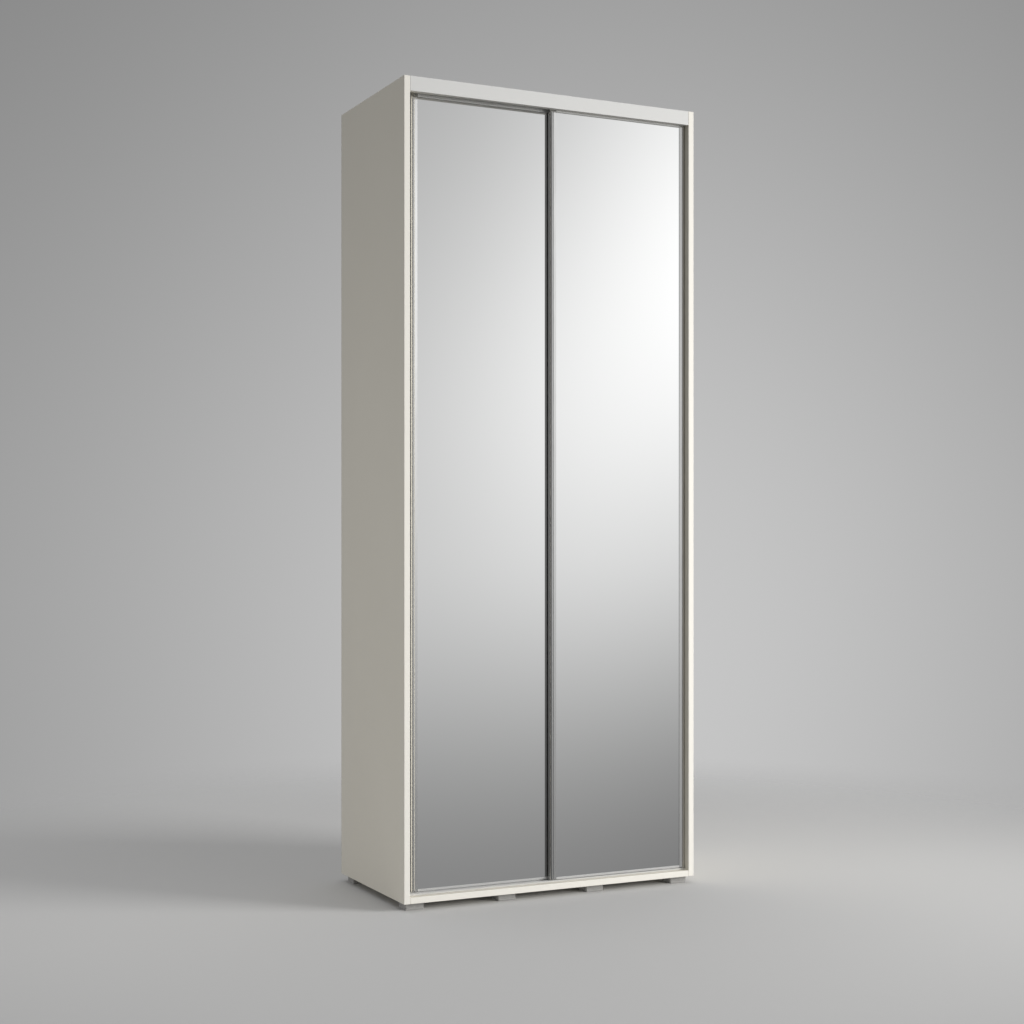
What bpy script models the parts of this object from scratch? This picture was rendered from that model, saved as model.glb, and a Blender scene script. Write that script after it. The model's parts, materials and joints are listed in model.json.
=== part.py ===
"""Two-door sliding wardrobe: board carcass, two hung mirror doors in aluminium frames, shelves and a rail.

Metres, +Z up. The doors face -Y, the width runs along X, and the origin is on the floor, under the middle.
The right door hangs in the front lane and the left door in the rear lane, one lane pitch further back.
"""

import math

import bmesh
import bpy
from mathutils import Matrix, Vector

for old in list(bpy.data.objects):
    bpy.data.objects.remove(old, do_unlink=True)

# Overall sizes
WIDTH = 0.950
DEPTH = 0.505
HEIGHT = 2.345
FOOT_HEIGHT = 0.022

# Boards
BOARD = 0.018
BACK_BOARD = 0.003
EDGE_ROUND = 0.0008
FASCIA_HEIGHT = 0.042
TOUCH = 0.0003

# Feet
FOOT_WIDTH = 0.058
FOOT_DEPTH = 0.050
FOOT_SET_BACK = 0.022
FOOT_SIDE_INSET = 0.012
FEET_PER_ROW = 4

# Inside
INNER_SET_BACK = 0.075
SHELF_BAY_WIDTH = 0.360
SHELF_COUNT = 4
HAT_SHELF_DROP = 0.300
RAIL_DROP = 0.060
RAIL_WIDTH = 0.015
RAIL_HEIGHT = 0.030
SOCKET_WALL = 0.003
SOCKET_DEPTH = 0.012
STRIP_WEB = 0.0016
STRIP_FLANGE = 0.0012
STRIP_HALF_WIDTH = 0.008

# Doors
DOOR_OVERLAP = 0.027
DOOR_THICKNESS = 0.016
LANE_GAP = 0.0025
FASCIA_CLEARANCE = 0.0015
RIGHT_DOOR_GAP = 0.0015
LEFT_DOOR_GAP = 0.0195
DOOR_TOP_BELOW_TRACK = 0.0034
DOOR_ABOVE_TRACK = 0.0017

# Door frame
STILE_ROUND_WIDTH = 0.0065
STILE_ROUND_DEPTH = 0.005
STILE_FLUTE_WIDTH = 0.0035
STILE_FLUTE_DEPTH = 0.0012
STILE_LIP_WIDTH = 0.0090
FRAME_LIP = 0.0018
FRAME_WEB = 0.012
RAIL_WEB = 0.0026
TOP_RAIL_HEIGHT = 0.010
BOTTOM_RAIL_HEIGHT = 0.006
GLASS = 0.004
GLASS_HOLD = 0.003
CHAMBER_WALL = 0.002

# Top track, hangers and rollers
TRACK_SHEET = 0.0015
TRACK_LEDGE = 0.0065
ROLLER_RADIUS = 0.005
ROLLER_WIDTH = 0.0045
ROLLER_FROM_WEB = 0.001
ROLLER_HEADROOM = 0.0012
AXLE_RADIUS = 0.0015
AXLE_CLEARANCE = 0.00015
AXLE_HEAD_RADIUS = 0.0024
AXLE_HEAD = 0.0004
HANGER_SHEET = 0.002
HANGER_LENGTH = 0.040
HANGER_FROM_LEDGE = 0.001
HANGER_FOOT_DEPTH = 0.011
HANGER_INSET = 0.055

# Bottom track and guides
BOTTOM_TRACK_HEIGHT = 0.005
BOTTOM_TRACK_BASE = 0.0012
BOTTOM_TRACK_WALL = 0.0012
GUIDE_THICKNESS = 0.003
GUIDE_LENGTH = 0.030
GUIDE_SIDE_CLEARANCE = 0.0005
GUIDE_INSET = 0.060

# Seals
SEAL_HOLDER_WIDTH = 0.008
SEAL_THICKNESS = 0.009
PILE_THICKNESS = 0.005
PILE_END_GAP = 0.001
DOOR_PILE_WIDTH = 0.006
DOOR_PILE_GAP = 0.0005

# Derived places
LANE_PITCH = DOOR_THICKNESS + LANE_GAP
DOOR_WIDTH = (WIDTH - 2 * BOARD - RIGHT_DOOR_GAP - LEFT_DOOR_GAP + DOOR_OVERLAP) / 2
LEFT = -WIDTH / 2
RIGHT = WIDTH / 2
FRONT = -DEPTH / 2
BACK = DEPTH / 2
INNER_LEFT = LEFT + BOARD
INNER_RIGHT = RIGHT - BOARD
CARCASS_BACK = BACK - BACK_BOARD - TOUCH
FLOOR_TOP = FOOT_HEIGHT + BOARD
TOP_UNDER = HEIGHT - BOARD
FRONT_LANE = FRONT + BOARD + FASCIA_CLEARANCE
REAR_LANE = FRONT_LANE + LANE_PITCH
INNER_FRONT = FRONT + INNER_SET_BACK
INNER_BACK = CARCASS_BACK - STRIP_FLANGE - TOUCH
LEDGE_TOP = TOP_UNDER - TOUCH - TRACK_SHEET - ROLLER_HEADROOM - 2 * ROLLER_RADIUS - TOUCH
TRACK_BOTTOM = LEDGE_TOP - TRACK_SHEET
DOOR_TOP = TRACK_BOTTOM - DOOR_TOP_BELOW_TRACK
BOTTOM_TRACK_TOP = FLOOR_TOP + TOUCH + BOTTOM_TRACK_HEIGHT
DOOR_BOTTOM = BOTTOM_TRACK_TOP + DOOR_ABOVE_TRACK
STILE_WIDTH = STILE_ROUND_WIDTH + STILE_FLUTE_WIDTH + STILE_LIP_WIDTH
RIGHT_DOOR_X = INNER_RIGHT - RIGHT_DOOR_GAP - DOOR_WIDTH
LEFT_DOOR_X = INNER_LEFT + LEFT_DOOR_GAP
PARTITION_X = INNER_LEFT + SHELF_BAY_WIDTH

parts = bpy.data.collections.new("sliding_door_wardrobe")
cutters = bpy.data.collections.new("cutters")
bpy.context.scene.collection.children.link(parts)
bpy.context.scene.collection.children.link(cutters)


def finish(name, colour, roughness, metallic=0.0):
    """A plain Principled material."""
    material = bpy.data.materials.new(name)
    material.use_nodes = True
    shader = material.node_tree.nodes["Principled BSDF"]
    shader.inputs["Base Color"].default_value = (*colour, 1.0)
    shader.inputs["Roughness"].default_value = roughness
    shader.inputs["Metallic"].default_value = metallic
    return material


IVORY_BOARD = ((0.83, 0.81, 0.76), 0.45)
HARDBOARD = ((0.80, 0.78, 0.72), 0.6)
ALUMINIUM = ((0.80, 0.80, 0.79), 0.32, 1.0)
STEEL = ((0.62, 0.62, 0.63), 0.3, 1.0)
MIRROR = ((0.92, 0.93, 0.93), 0.02, 1.0)
BACKING = ((0.42, 0.36, 0.28), 0.7)
GREY_PLASTIC = ((0.55, 0.54, 0.53), 0.5)
WHITE_PLASTIC = ((0.85, 0.85, 0.83), 0.4)
PILE = ((0.28, 0.27, 0.26), 0.9)


def place(obj, look):
    """Gives a piece its own material and puts it in the wardrobe's collection."""
    obj.data.materials.append(finish(obj.name, *look))
    parts.objects.link(obj)
    return obj


def box(name, low, high, look, edge=0.0):
    """A rectangular piece between two corners, with its origin at its middle."""
    low = Vector(low)
    high = Vector(high)
    mesh = bpy.data.meshes.new(name)
    body = bmesh.new()
    bmesh.ops.create_cube(body, size=1.0, matrix=Matrix.Diagonal((*(high - low), 1.0)))
    body.to_mesh(mesh)
    body.free()
    obj = bpy.data.objects.new(name, mesh)
    obj.location = (low + high) / 2
    if edge:
        rounding = obj.modifiers.new("edges", "BEVEL")
        rounding.width = edge
        rounding.segments = 2
    return place(obj, look)


def outline_curve(name, loops, length):
    """A flat outline, with any holes as further loops, drawn out by length."""
    curve = bpy.data.curves.new(name, "CURVE")
    curve.dimensions = "2D"
    curve.fill_mode = "BOTH"
    curve.extrude = length / 2
    for loop in loops:
        spline = curve.splines.new("POLY")
        spline.points.add(len(loop) - 1)
        for point, (across, along) in zip(spline.points, loop):
            point.co = (across, along, 0.0, 1.0)
        spline.use_cyclic_u = True
    return bpy.data.objects.new(name, curve)


def upright(name, loops, x, y, low, high, look):
    """An extrusion along Z: the outline is in X and Y."""
    obj = outline_curve(name, loops, high - low)
    obj.location = (x, y, (low + high) / 2)
    return place(obj, look)


def along_x(name, loops, x_low, x_high, y, z, look):
    """An extrusion along X: the outline is in Y and Z."""
    obj = outline_curve(name, loops, x_high - x_low)
    obj.location = ((x_low + x_high) / 2, y, z)
    obj.rotation_euler = (math.pi / 2, 0.0, math.pi / 2)
    return place(obj, look)


def as_mesh(obj):
    """Replaces a curve piece by its mesh, with its caps welded, so that it can be cut."""
    bpy.context.view_layer.update()
    evaluated = obj.evaluated_get(bpy.context.evaluated_depsgraph_get())
    mesh = bpy.data.meshes.new_from_object(evaluated)
    body = bmesh.new()
    body.from_mesh(mesh)
    bmesh.ops.remove_doubles(body, verts=body.verts, dist=1e-6)
    body.to_mesh(mesh)
    body.free()
    name = obj.name
    matrix = obj.matrix_world.copy()
    bpy.data.objects.remove(obj, do_unlink=True)
    solid = bpy.data.objects.new(name, mesh)
    solid.matrix_world = matrix
    parts.objects.link(solid)
    return solid


def round_mesh(name, radius, length, segments):
    """A cylinder along Y, centred on its origin."""
    mesh = bpy.data.meshes.new(name)
    body = bmesh.new()
    turn = Matrix.Rotation(math.pi / 2, 4, "X")
    bmesh.ops.create_cone(body, cap_ends=True, segments=segments, radius1=radius, radius2=radius,
                          depth=length, matrix=turn)
    body.to_mesh(mesh)
    body.free()
    return mesh


def smooth(obj):
    """Shades a round piece smooth, with its rims sharp."""
    obj.data.shade_smooth()
    obj.data.set_sharp_from_angle(angle=math.radians(40))


def cutter(name, mesh, location):
    """A guide solid that a Boolean cuts away."""
    obj = bpy.data.objects.new(name, mesh)
    obj.location = location
    obj.display_type = "WIRE"
    obj.hide_render = True
    cutters.objects.link(obj)
    return obj


def change(obj, tool, operation):
    """Cuts a guide solid away from a piece, or joins it on."""
    boolean = obj.modifiers.new("cut", "BOOLEAN")
    boolean.operation = operation
    boolean.solver = "EXACT"
    boolean.object = tool


def empty(name, location):
    """An empty that carries a moving piece."""
    obj = bpy.data.objects.new(name, None)
    obj.location = location
    parts.objects.link(obj)
    return obj


def carry(carrier, pieces):
    """Parents pieces to a carrier, keeping them where they are."""
    for piece in pieces:
        piece.parent = carrier
        piece.location = Vector(piece.location) - Vector(carrier.location)


# Carcass
def make_carcass():
    """Two sides, top, bottom, fascia and partition."""
    box("side_panel_left", (LEFT, FRONT, FOOT_HEIGHT), (INNER_LEFT, CARCASS_BACK, HEIGHT),
        IVORY_BOARD, EDGE_ROUND)
    box("side_panel_right", (INNER_RIGHT, FRONT, FOOT_HEIGHT), (RIGHT, CARCASS_BACK, HEIGHT),
        IVORY_BOARD, EDGE_ROUND)
    box("top_panel", (INNER_LEFT + TOUCH, FRONT + BOARD + TOUCH, TOP_UNDER),
        (INNER_RIGHT - TOUCH, CARCASS_BACK, HEIGHT), IVORY_BOARD, EDGE_ROUND)
    box("bottom_panel", (INNER_LEFT + TOUCH, FRONT, FOOT_HEIGHT),
        (INNER_RIGHT - TOUCH, CARCASS_BACK, FLOOR_TOP), IVORY_BOARD, EDGE_ROUND)
    box("fascia", (INNER_LEFT + TOUCH, FRONT, HEIGHT - FASCIA_HEIGHT),
        (INNER_RIGHT - TOUCH, FRONT + BOARD, HEIGHT), IVORY_BOARD, EDGE_ROUND)
    box("partition", (PARTITION_X, INNER_FRONT, FLOOR_TOP + TOUCH),
        (PARTITION_X + BOARD, INNER_BACK, TOP_UNDER - TOUCH), IVORY_BOARD, EDGE_ROUND)


def make_back():
    """Two thin back panels, and a T-shaped plastic strip whose web closes the gap between them.

    The strip's flange lies in front of the panels, behind the partition's back edge.
    """
    middle = PARTITION_X + BOARD / 2
    web = STRIP_WEB / 2
    back_face = BACK - BACK_BOARD
    box("back_panel_left", (LEFT, back_face, FOOT_HEIGHT), (middle - web - TOUCH, BACK, HEIGHT), HARDBOARD)
    box("back_panel_right", (middle + web + TOUCH, back_face, FOOT_HEIGHT), (RIGHT, BACK, HEIGHT), HARDBOARD)
    half = STRIP_HALF_WIDTH
    reach = STRIP_FLANGE + TOUCH + BACK_BOARD
    section = [(-half, 0.0), (half, 0.0), (half, STRIP_FLANGE), (web, STRIP_FLANGE),
               (web, reach), (-web, reach), (-web, STRIP_FLANGE), (-half, STRIP_FLANGE)]
    upright("back_joining_strip", [section], middle, CARCASS_BACK - STRIP_FLANGE, FLOOR_TOP + TOUCH,
            TOP_UNDER - TOUCH, WHITE_PLASTIC)


def make_inside():
    """Shelves on the left, a hat shelf and a hanging rail in its two sockets on the right."""
    clear_height = TOP_UNDER - FLOOR_TOP
    pitch = (clear_height - SHELF_COUNT * BOARD) / (SHELF_COUNT + 1) + BOARD
    for number in range(1, SHELF_COUNT + 1):
        low = FLOOR_TOP + number * pitch - BOARD
        box(f"shelf_{number}", (INNER_LEFT + TOUCH, INNER_FRONT, low),
            (PARTITION_X - TOUCH, INNER_BACK, low + BOARD), IVORY_BOARD, EDGE_ROUND)
    bay_left = PARTITION_X + BOARD
    hat_top = TOP_UNDER - HAT_SHELF_DROP
    box("hat_shelf", (bay_left + TOUCH, INNER_FRONT, hat_top - BOARD),
        (INNER_RIGHT - TOUCH, INNER_BACK, hat_top), IVORY_BOARD, EDGE_ROUND)
    rail_z = hat_top - BOARD - RAIL_DROP
    rail_y = (INNER_FRONT + CARCASS_BACK) / 2
    rail_ends = SOCKET_WALL + 2 * TOUCH
    along_x("hanging_rail", [oval(RAIL_WIDTH, RAIL_HEIGHT), oval(RAIL_WIDTH - 0.0024, RAIL_HEIGHT - 0.0024)],
            bay_left + rail_ends, INNER_RIGHT - rail_ends, rail_y, rail_z, STEEL)
    for name, wall, inward in (("rail_socket_left", bay_left, 1.0), ("rail_socket_right", INNER_RIGHT, -1.0)):
        start = wall + inward * TOUCH
        end = start + inward * SOCKET_DEPTH
        outer = oval(RAIL_WIDTH + 2 * (SOCKET_WALL + TOUCH), RAIL_HEIGHT + 2 * (SOCKET_WALL + TOUCH))
        cup = as_mesh(along_x(name, [outer], min(start, end), max(start, end), rail_y, rail_z, WHITE_PLASTIC))
        pocket_start = start + inward * SOCKET_WALL
        pocket_end = end + inward * SOCKET_DEPTH
        pocket = outline_curve(f"{name}_pocket", [oval(RAIL_WIDTH + 2 * TOUCH, RAIL_HEIGHT + 2 * TOUCH)],
                               abs(pocket_end - pocket_start))
        pocket.location = ((pocket_start + pocket_end) / 2, rail_y, rail_z)
        pocket.rotation_euler = (math.pi / 2, 0.0, math.pi / 2)
        parts.objects.link(pocket)
        tool = as_mesh(pocket)
        parts.objects.unlink(tool)
        cutters.objects.link(tool)
        tool.display_type = "WIRE"
        tool.hide_render = True
        change(cup, tool, "DIFFERENCE")


def oval(width, height):
    """A flat-sided oval: two half circles joined by straight sides."""
    radius = width / 2
    straight = height / 2 - radius
    points = []
    for step in range(13):
        turn = math.pi * step / 12
        points.append((radius * math.cos(turn), straight + radius * math.sin(turn)))
    for step in range(13):
        turn = math.pi + math.pi * step / 12
        points.append((radius * math.cos(turn), -straight + radius * math.sin(turn)))
    return points


def make_feet():
    """A row of flat feet under the front edge, and one under the back edge."""
    first = LEFT + FOOT_SIDE_INSET
    step = (WIDTH - 2 * FOOT_SIDE_INSET - FOOT_WIDTH) / (FEET_PER_ROW - 1)
    rows = (("front", FRONT + FOOT_SET_BACK), ("back", BACK - FOOT_SET_BACK - FOOT_DEPTH))
    for row, start in rows:
        for number in range(FEET_PER_ROW):
            x = first + number * step
            box(f"foot_{row}_{number + 1}", (x, start, 0.0),
                (x + FOOT_WIDTH, start + FOOT_DEPTH, FOOT_HEIGHT - TOUCH), GREY_PLASTIC, 0.0006)


# Tracks
def make_top_track():
    """A sheet under the top panel, with a web and a ledge for each lane; the ledges carry the rollers."""
    sheet = TRACK_SHEET
    drop = TOP_UNDER - TOUCH - TRACK_BOTTOM
    width = LANE_PITCH + sheet + TRACK_LEDGE
    section = [(0.0, 0.0), (sheet + TRACK_LEDGE, 0.0), (sheet + TRACK_LEDGE, sheet), (sheet, sheet),
               (sheet, drop - sheet), (LANE_PITCH, drop - sheet), (LANE_PITCH, 0.0),
               (width, 0.0), (width, sheet), (LANE_PITCH + sheet, sheet),
               (LANE_PITCH + sheet, drop - sheet), (width + HANGER_FROM_LEDGE + 2 * HANGER_SHEET, drop - sheet),
               (width + HANGER_FROM_LEDGE + 2 * HANGER_SHEET, drop), (0.0, drop)]
    along_x("top_track", [section], INNER_LEFT + TOUCH, INNER_RIGHT - TOUCH, FRONT_LANE, TRACK_BOTTOM, ALUMINIUM)


def guide_walls(lane):
    """The near sides of the two walls that guide one lane's fins."""
    middle = lane + DOOR_THICKNESS / 2
    reach = GUIDE_THICKNESS / 2 + GUIDE_SIDE_CLEARANCE
    return middle - reach - BOTTOM_TRACK_WALL, middle + reach


def make_bottom_track():
    """A base with a guide channel for each lane and a low wall along its front and back."""
    end = LANE_PITCH + DOOR_THICKNESS
    starts = [0.0, *guide_walls(0.0), *guide_walls(LANE_PITCH), end - BOTTOM_TRACK_WALL]
    section = [(end, 0.0), (0.0, 0.0)]
    for start in starts:
        section.append((start, BOTTOM_TRACK_BASE))
        section.append((start, BOTTOM_TRACK_HEIGHT))
        section.append((start + BOTTOM_TRACK_WALL, BOTTOM_TRACK_HEIGHT))
        section.append((start + BOTTOM_TRACK_WALL, BOTTOM_TRACK_BASE))
    del section[2]
    del section[-1]
    along_x("bottom_track", [section], INNER_LEFT + TOUCH, INNER_RIGHT - TOUCH, FRONT_LANE,
            FLOOR_TOP + TOUCH, ALUMINIUM)


# Doors
def stile_outline(inward):
    """The upright's section: a rounded outer half, a shallow flute, a flat lip, and a slot for the glass.

    inward is +1 on a left stile, where the door lies to its right, and -1 on a right one.
    """
    rounded = []
    for step in range(9):
        turn = math.pi / 2 * step / 8
        rounded.append((STILE_ROUND_WIDTH * (1 - math.cos(turn)), STILE_ROUND_DEPTH * (1 - math.sin(turn))))
    flute = []
    for step in range(1, 7):
        share = step / 6
        flute.append((STILE_ROUND_WIDTH + STILE_FLUTE_WIDTH * share,
                      STILE_FLUTE_DEPTH * math.sin(math.pi * share)))
    slot_back = DOOR_THICKNESS - FRAME_LIP
    points = rounded + flute + [
        (STILE_WIDTH, 0.0), (STILE_WIDTH, FRAME_LIP), (FRAME_WEB, FRAME_LIP), (FRAME_WEB, slot_back),
        (STILE_WIDTH, slot_back), (STILE_WIDTH, DOOR_THICKNESS), (0.0, DOOR_THICKNESS)]
    chamber = [(CHAMBER_WALL, STILE_ROUND_DEPTH + CHAMBER_WALL),
               (FRAME_WEB - CHAMBER_WALL, STILE_ROUND_DEPTH + CHAMBER_WALL),
               (FRAME_WEB - CHAMBER_WALL, DOOR_THICKNESS - CHAMBER_WALL),
               (CHAMBER_WALL, DOOR_THICKNESS - CHAMBER_WALL)]
    return [[(inward * across, along) for across, along in loop] for loop in (points, chamber)]


def rail_outline(height, upward):
    """The cross rail's section: a web with a front and a back lip. upward is +1 where the lips point up."""
    back = DOOR_THICKNESS - FRAME_LIP
    points = [(0.0, 0.0), (DOOR_THICKNESS, 0.0), (DOOR_THICKNESS, height), (back, height), (back, RAIL_WEB),
              (FRAME_LIP, RAIL_WEB), (FRAME_LIP, height), (0.0, height)]
    return [[(along, upward * up) for along, up in points]]


def make_roller(name, x, lane):
    """A nylon roller with a bore for its axle. It turns about its own origin, along Y."""
    y = lane + TRACK_SHEET + ROLLER_FROM_WEB + ROLLER_WIDTH / 2
    z = LEDGE_TOP + TOUCH + ROLLER_RADIUS
    roller = bpy.data.objects.new(name, round_mesh(name, ROLLER_RADIUS, ROLLER_WIDTH, 32))
    roller.location = (x, y, z)
    place(roller, WHITE_PLASTIC)
    bore = round_mesh(f"{name}_bore", AXLE_RADIUS + AXLE_CLEARANCE, ROLLER_WIDTH * 2, 24)
    change(roller, cutter(f"{name}_bore", bore, roller.location), "DIFFERENCE")
    smooth(roller)
    return roller


def make_hanger(name, x, lane, roller):
    """A bent steel hanger on the door's top rail, with its upright beside the roller."""
    plate = TRACK_SHEET + TRACK_LEDGE + HANGER_FROM_LEDGE
    foot_start = (DOOR_THICKNESS - HANGER_FOOT_DEPTH) / 2
    rise = roller.location.z + 2 * AXLE_RADIUS - DOOR_TOP - TOUCH
    section = [(foot_start, 0.0), (foot_start + HANGER_FOOT_DEPTH, 0.0),
               (foot_start + HANGER_FOOT_DEPTH, HANGER_SHEET), (plate + HANGER_SHEET, HANGER_SHEET),
               (plate + HANGER_SHEET, rise), (plate, rise), (plate, HANGER_SHEET), (foot_start, HANGER_SHEET)]
    hanger = as_mesh(along_x(name, [section], x - HANGER_LENGTH / 2, x + HANGER_LENGTH / 2, lane,
                             DOOR_TOP + TOUCH, STEEL))
    hole = round_mesh(f"{name}_hole", AXLE_RADIUS + AXLE_CLEARANCE, HANGER_SHEET * 3, 24)
    where = (x, lane + plate + HANGER_SHEET / 2, roller.location.z)
    change(hanger, cutter(f"{name}_hole", hole, where), "DIFFERENCE")
    return hanger


def make_axle(name, x, lane, roller):
    """A headed steel pin through the roller and the hanger."""
    head_back = roller.location.y - ROLLER_WIDTH / 2 - TOUCH
    end = lane + TRACK_SHEET + TRACK_LEDGE + HANGER_FROM_LEDGE + HANGER_SHEET + AXLE_HEAD
    shank = end - head_back
    axle = bpy.data.objects.new(name, round_mesh(name, AXLE_RADIUS, shank, 24))
    axle.location = (x, (head_back + end) / 2, roller.location.z)
    place(axle, STEEL)
    head = round_mesh(f"{name}_head", AXLE_HEAD_RADIUS, AXLE_HEAD, 24)
    middle = head_back - AXLE_HEAD / 2 + TOUCH / 2
    change(axle, cutter(f"{name}_head", head, (x, middle, roller.location.z)), "UNION")
    smooth(axle)
    return axle


def make_door(side, left, lane, with_pile):
    """One hung door: two stiles, two rails, glass, backing, two hangers with rollers, and two guide fins."""
    right = left + DOOR_WIDTH
    pieces = [
        upright(f"{side}_door_stile_left", stile_outline(1.0), left, lane, DOOR_BOTTOM, DOOR_TOP, ALUMINIUM),
        upright(f"{side}_door_stile_right", stile_outline(-1.0), right, lane, DOOR_BOTTOM, DOOR_TOP, ALUMINIUM),
        along_x(f"{side}_door_top_rail", rail_outline(TOP_RAIL_HEIGHT, -1.0), left + STILE_WIDTH + TOUCH,
                right - STILE_WIDTH - TOUCH, lane, DOOR_TOP, ALUMINIUM),
        along_x(f"{side}_door_bottom_rail", rail_outline(BOTTOM_RAIL_HEIGHT, 1.0), left + STILE_WIDTH + TOUCH,
                right - STILE_WIDTH - TOUCH, lane, DOOR_BOTTOM, ALUMINIUM),
    ]
    glass_left = left + FRAME_WEB + TOUCH
    glass_right = right - FRAME_WEB - TOUCH
    glass_low = DOOR_BOTTOM + BOTTOM_RAIL_HEIGHT - GLASS_HOLD
    glass_high = DOOR_TOP - TOP_RAIL_HEIGHT + GLASS_HOLD
    glass_front = lane + FRAME_LIP + TOUCH
    backing_front = glass_front + GLASS + TOUCH
    backing_back = lane + DOOR_THICKNESS - FRAME_LIP - TOUCH
    pieces.append(box(f"{side}_door_mirror", (glass_left, glass_front, glass_low),
                      (glass_right, glass_front + GLASS, glass_high), MIRROR))
    pieces.append(box(f"{side}_door_backing", (glass_left, backing_front, glass_low),
                      (glass_right, backing_back, glass_high), BACKING))
    carrier = empty(f"{side}_door_slide", ((left + right) / 2, lane + DOOR_THICKNESS / 2,
                                           (DOOR_BOTTOM + DOOR_TOP) / 2))
    fin_low = FLOOR_TOP + TOUCH + BOTTOM_TRACK_BASE + GUIDE_SIDE_CLEARANCE
    middle = lane + DOOR_THICKNESS / 2
    for end, x, inset in (("left", left, 1.0), ("right", right, -1.0)):
        hanger_x = x + inset * HANGER_INSET
        roller = make_roller(f"{side}_door_roller_{end}", hanger_x, lane)
        pieces.append(roller)
        pieces.append(make_hanger(f"{side}_door_hanger_{end}", hanger_x, lane, roller))
        pieces.append(make_axle(f"{side}_door_axle_{end}", hanger_x, lane, roller))
        guide_x = x + inset * GUIDE_INSET
        pieces.append(box(f"{side}_door_guide_{end}",
                          (guide_x - GUIDE_LENGTH / 2, middle - GUIDE_THICKNESS / 2, fin_low),
                          (guide_x + GUIDE_LENGTH / 2, middle + GUIDE_THICKNESS / 2, DOOR_BOTTOM - TOUCH),
                          WHITE_PLASTIC))
    if with_pile:
        behind = lane + DOOR_THICKNESS + TOUCH
        pile_left = left + (STILE_WIDTH - DOOR_PILE_WIDTH) / 2
        pieces.append(box(f"{side}_door_pile", (pile_left, behind, DOOR_BOTTOM),
                          (pile_left + DOOR_PILE_WIDTH, REAR_LANE - DOOR_PILE_GAP, DOOR_TOP), PILE))
    carry(carrier, pieces)


def make_left_seal():
    """A holder on the left side, in the rear lane, with a pile that reaches the closed left door's stile."""
    holder_left = INNER_LEFT + TOUCH
    holder_right = holder_left + SEAL_HOLDER_WIDTH
    middle = REAR_LANE + STILE_ROUND_DEPTH + (DOOR_THICKNESS - STILE_ROUND_DEPTH) / 2
    high = TRACK_BOTTOM - DOOR_ABOVE_TRACK
    low = BOTTOM_TRACK_TOP + DOOR_ABOVE_TRACK
    box("seal_holder", (holder_left, middle - SEAL_THICKNESS / 2, low),
        (holder_right, middle + SEAL_THICKNESS / 2, high), ALUMINIUM)
    box("seal_pile", (holder_right + TOUCH, middle - PILE_THICKNESS / 2, low),
        (LEFT_DOOR_X - PILE_END_GAP, middle + PILE_THICKNESS / 2, high), PILE)


make_carcass()
make_back()
make_inside()
make_feet()
make_top_track()
make_bottom_track()
make_door("right", RIGHT_DOOR_X, FRONT_LANE, True)
make_door("left", LEFT_DOOR_X, REAR_LANE, False)
make_left_seal()
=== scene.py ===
# %% [markdown]
# # A sliding door wardrobe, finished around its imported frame
# The CAD model gives every board, door and roller its place. This file gives them the surfaces that a
# furniture maker would recognise: melamine boards with edge bands, satin aluminium uprights, silvered
# mirrors, ribbed feet, brush piles and plated fittings.
# Each new piece is a surface worked out with numpy, and each finish is a small tree of shader nodes.

# %% Load the frame
import json
import math

import bmesh
import bpy
import numpy as np
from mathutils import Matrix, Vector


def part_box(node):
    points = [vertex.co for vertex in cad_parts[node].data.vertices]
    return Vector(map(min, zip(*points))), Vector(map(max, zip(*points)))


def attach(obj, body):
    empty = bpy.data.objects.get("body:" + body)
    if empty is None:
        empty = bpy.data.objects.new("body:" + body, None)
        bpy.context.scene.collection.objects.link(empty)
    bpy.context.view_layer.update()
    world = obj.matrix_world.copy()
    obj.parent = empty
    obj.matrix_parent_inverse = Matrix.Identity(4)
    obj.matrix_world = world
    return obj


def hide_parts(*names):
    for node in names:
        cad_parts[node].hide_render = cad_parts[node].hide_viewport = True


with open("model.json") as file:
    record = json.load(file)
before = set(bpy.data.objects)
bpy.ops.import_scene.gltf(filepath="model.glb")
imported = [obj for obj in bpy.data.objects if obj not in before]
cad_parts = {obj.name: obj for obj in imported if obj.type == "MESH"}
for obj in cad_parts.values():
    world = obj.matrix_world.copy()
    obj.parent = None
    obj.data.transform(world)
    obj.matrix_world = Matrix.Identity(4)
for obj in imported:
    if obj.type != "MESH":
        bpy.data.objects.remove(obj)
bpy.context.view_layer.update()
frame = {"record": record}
record = frame["record"]
body_of_node = {node: body for body, nodes in record["behaviour"]["bodies"].items() for node in nodes}
MM = 0.001


def corners(node):
    """The lowest and highest corner of a CAD node, as arrays."""
    low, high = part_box(node)
    return np.array(low), np.array(high)


# %% [markdown]
# ## Shading that keeps flats flat
# A mirror with a polished edge is the hard case: plain smooth shading bends its reflections near the rim.
# A Weighted Normal modifier would mend that, but each piece would need one. Working the normals out here
# as arrays does the same once, for every piece.

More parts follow.
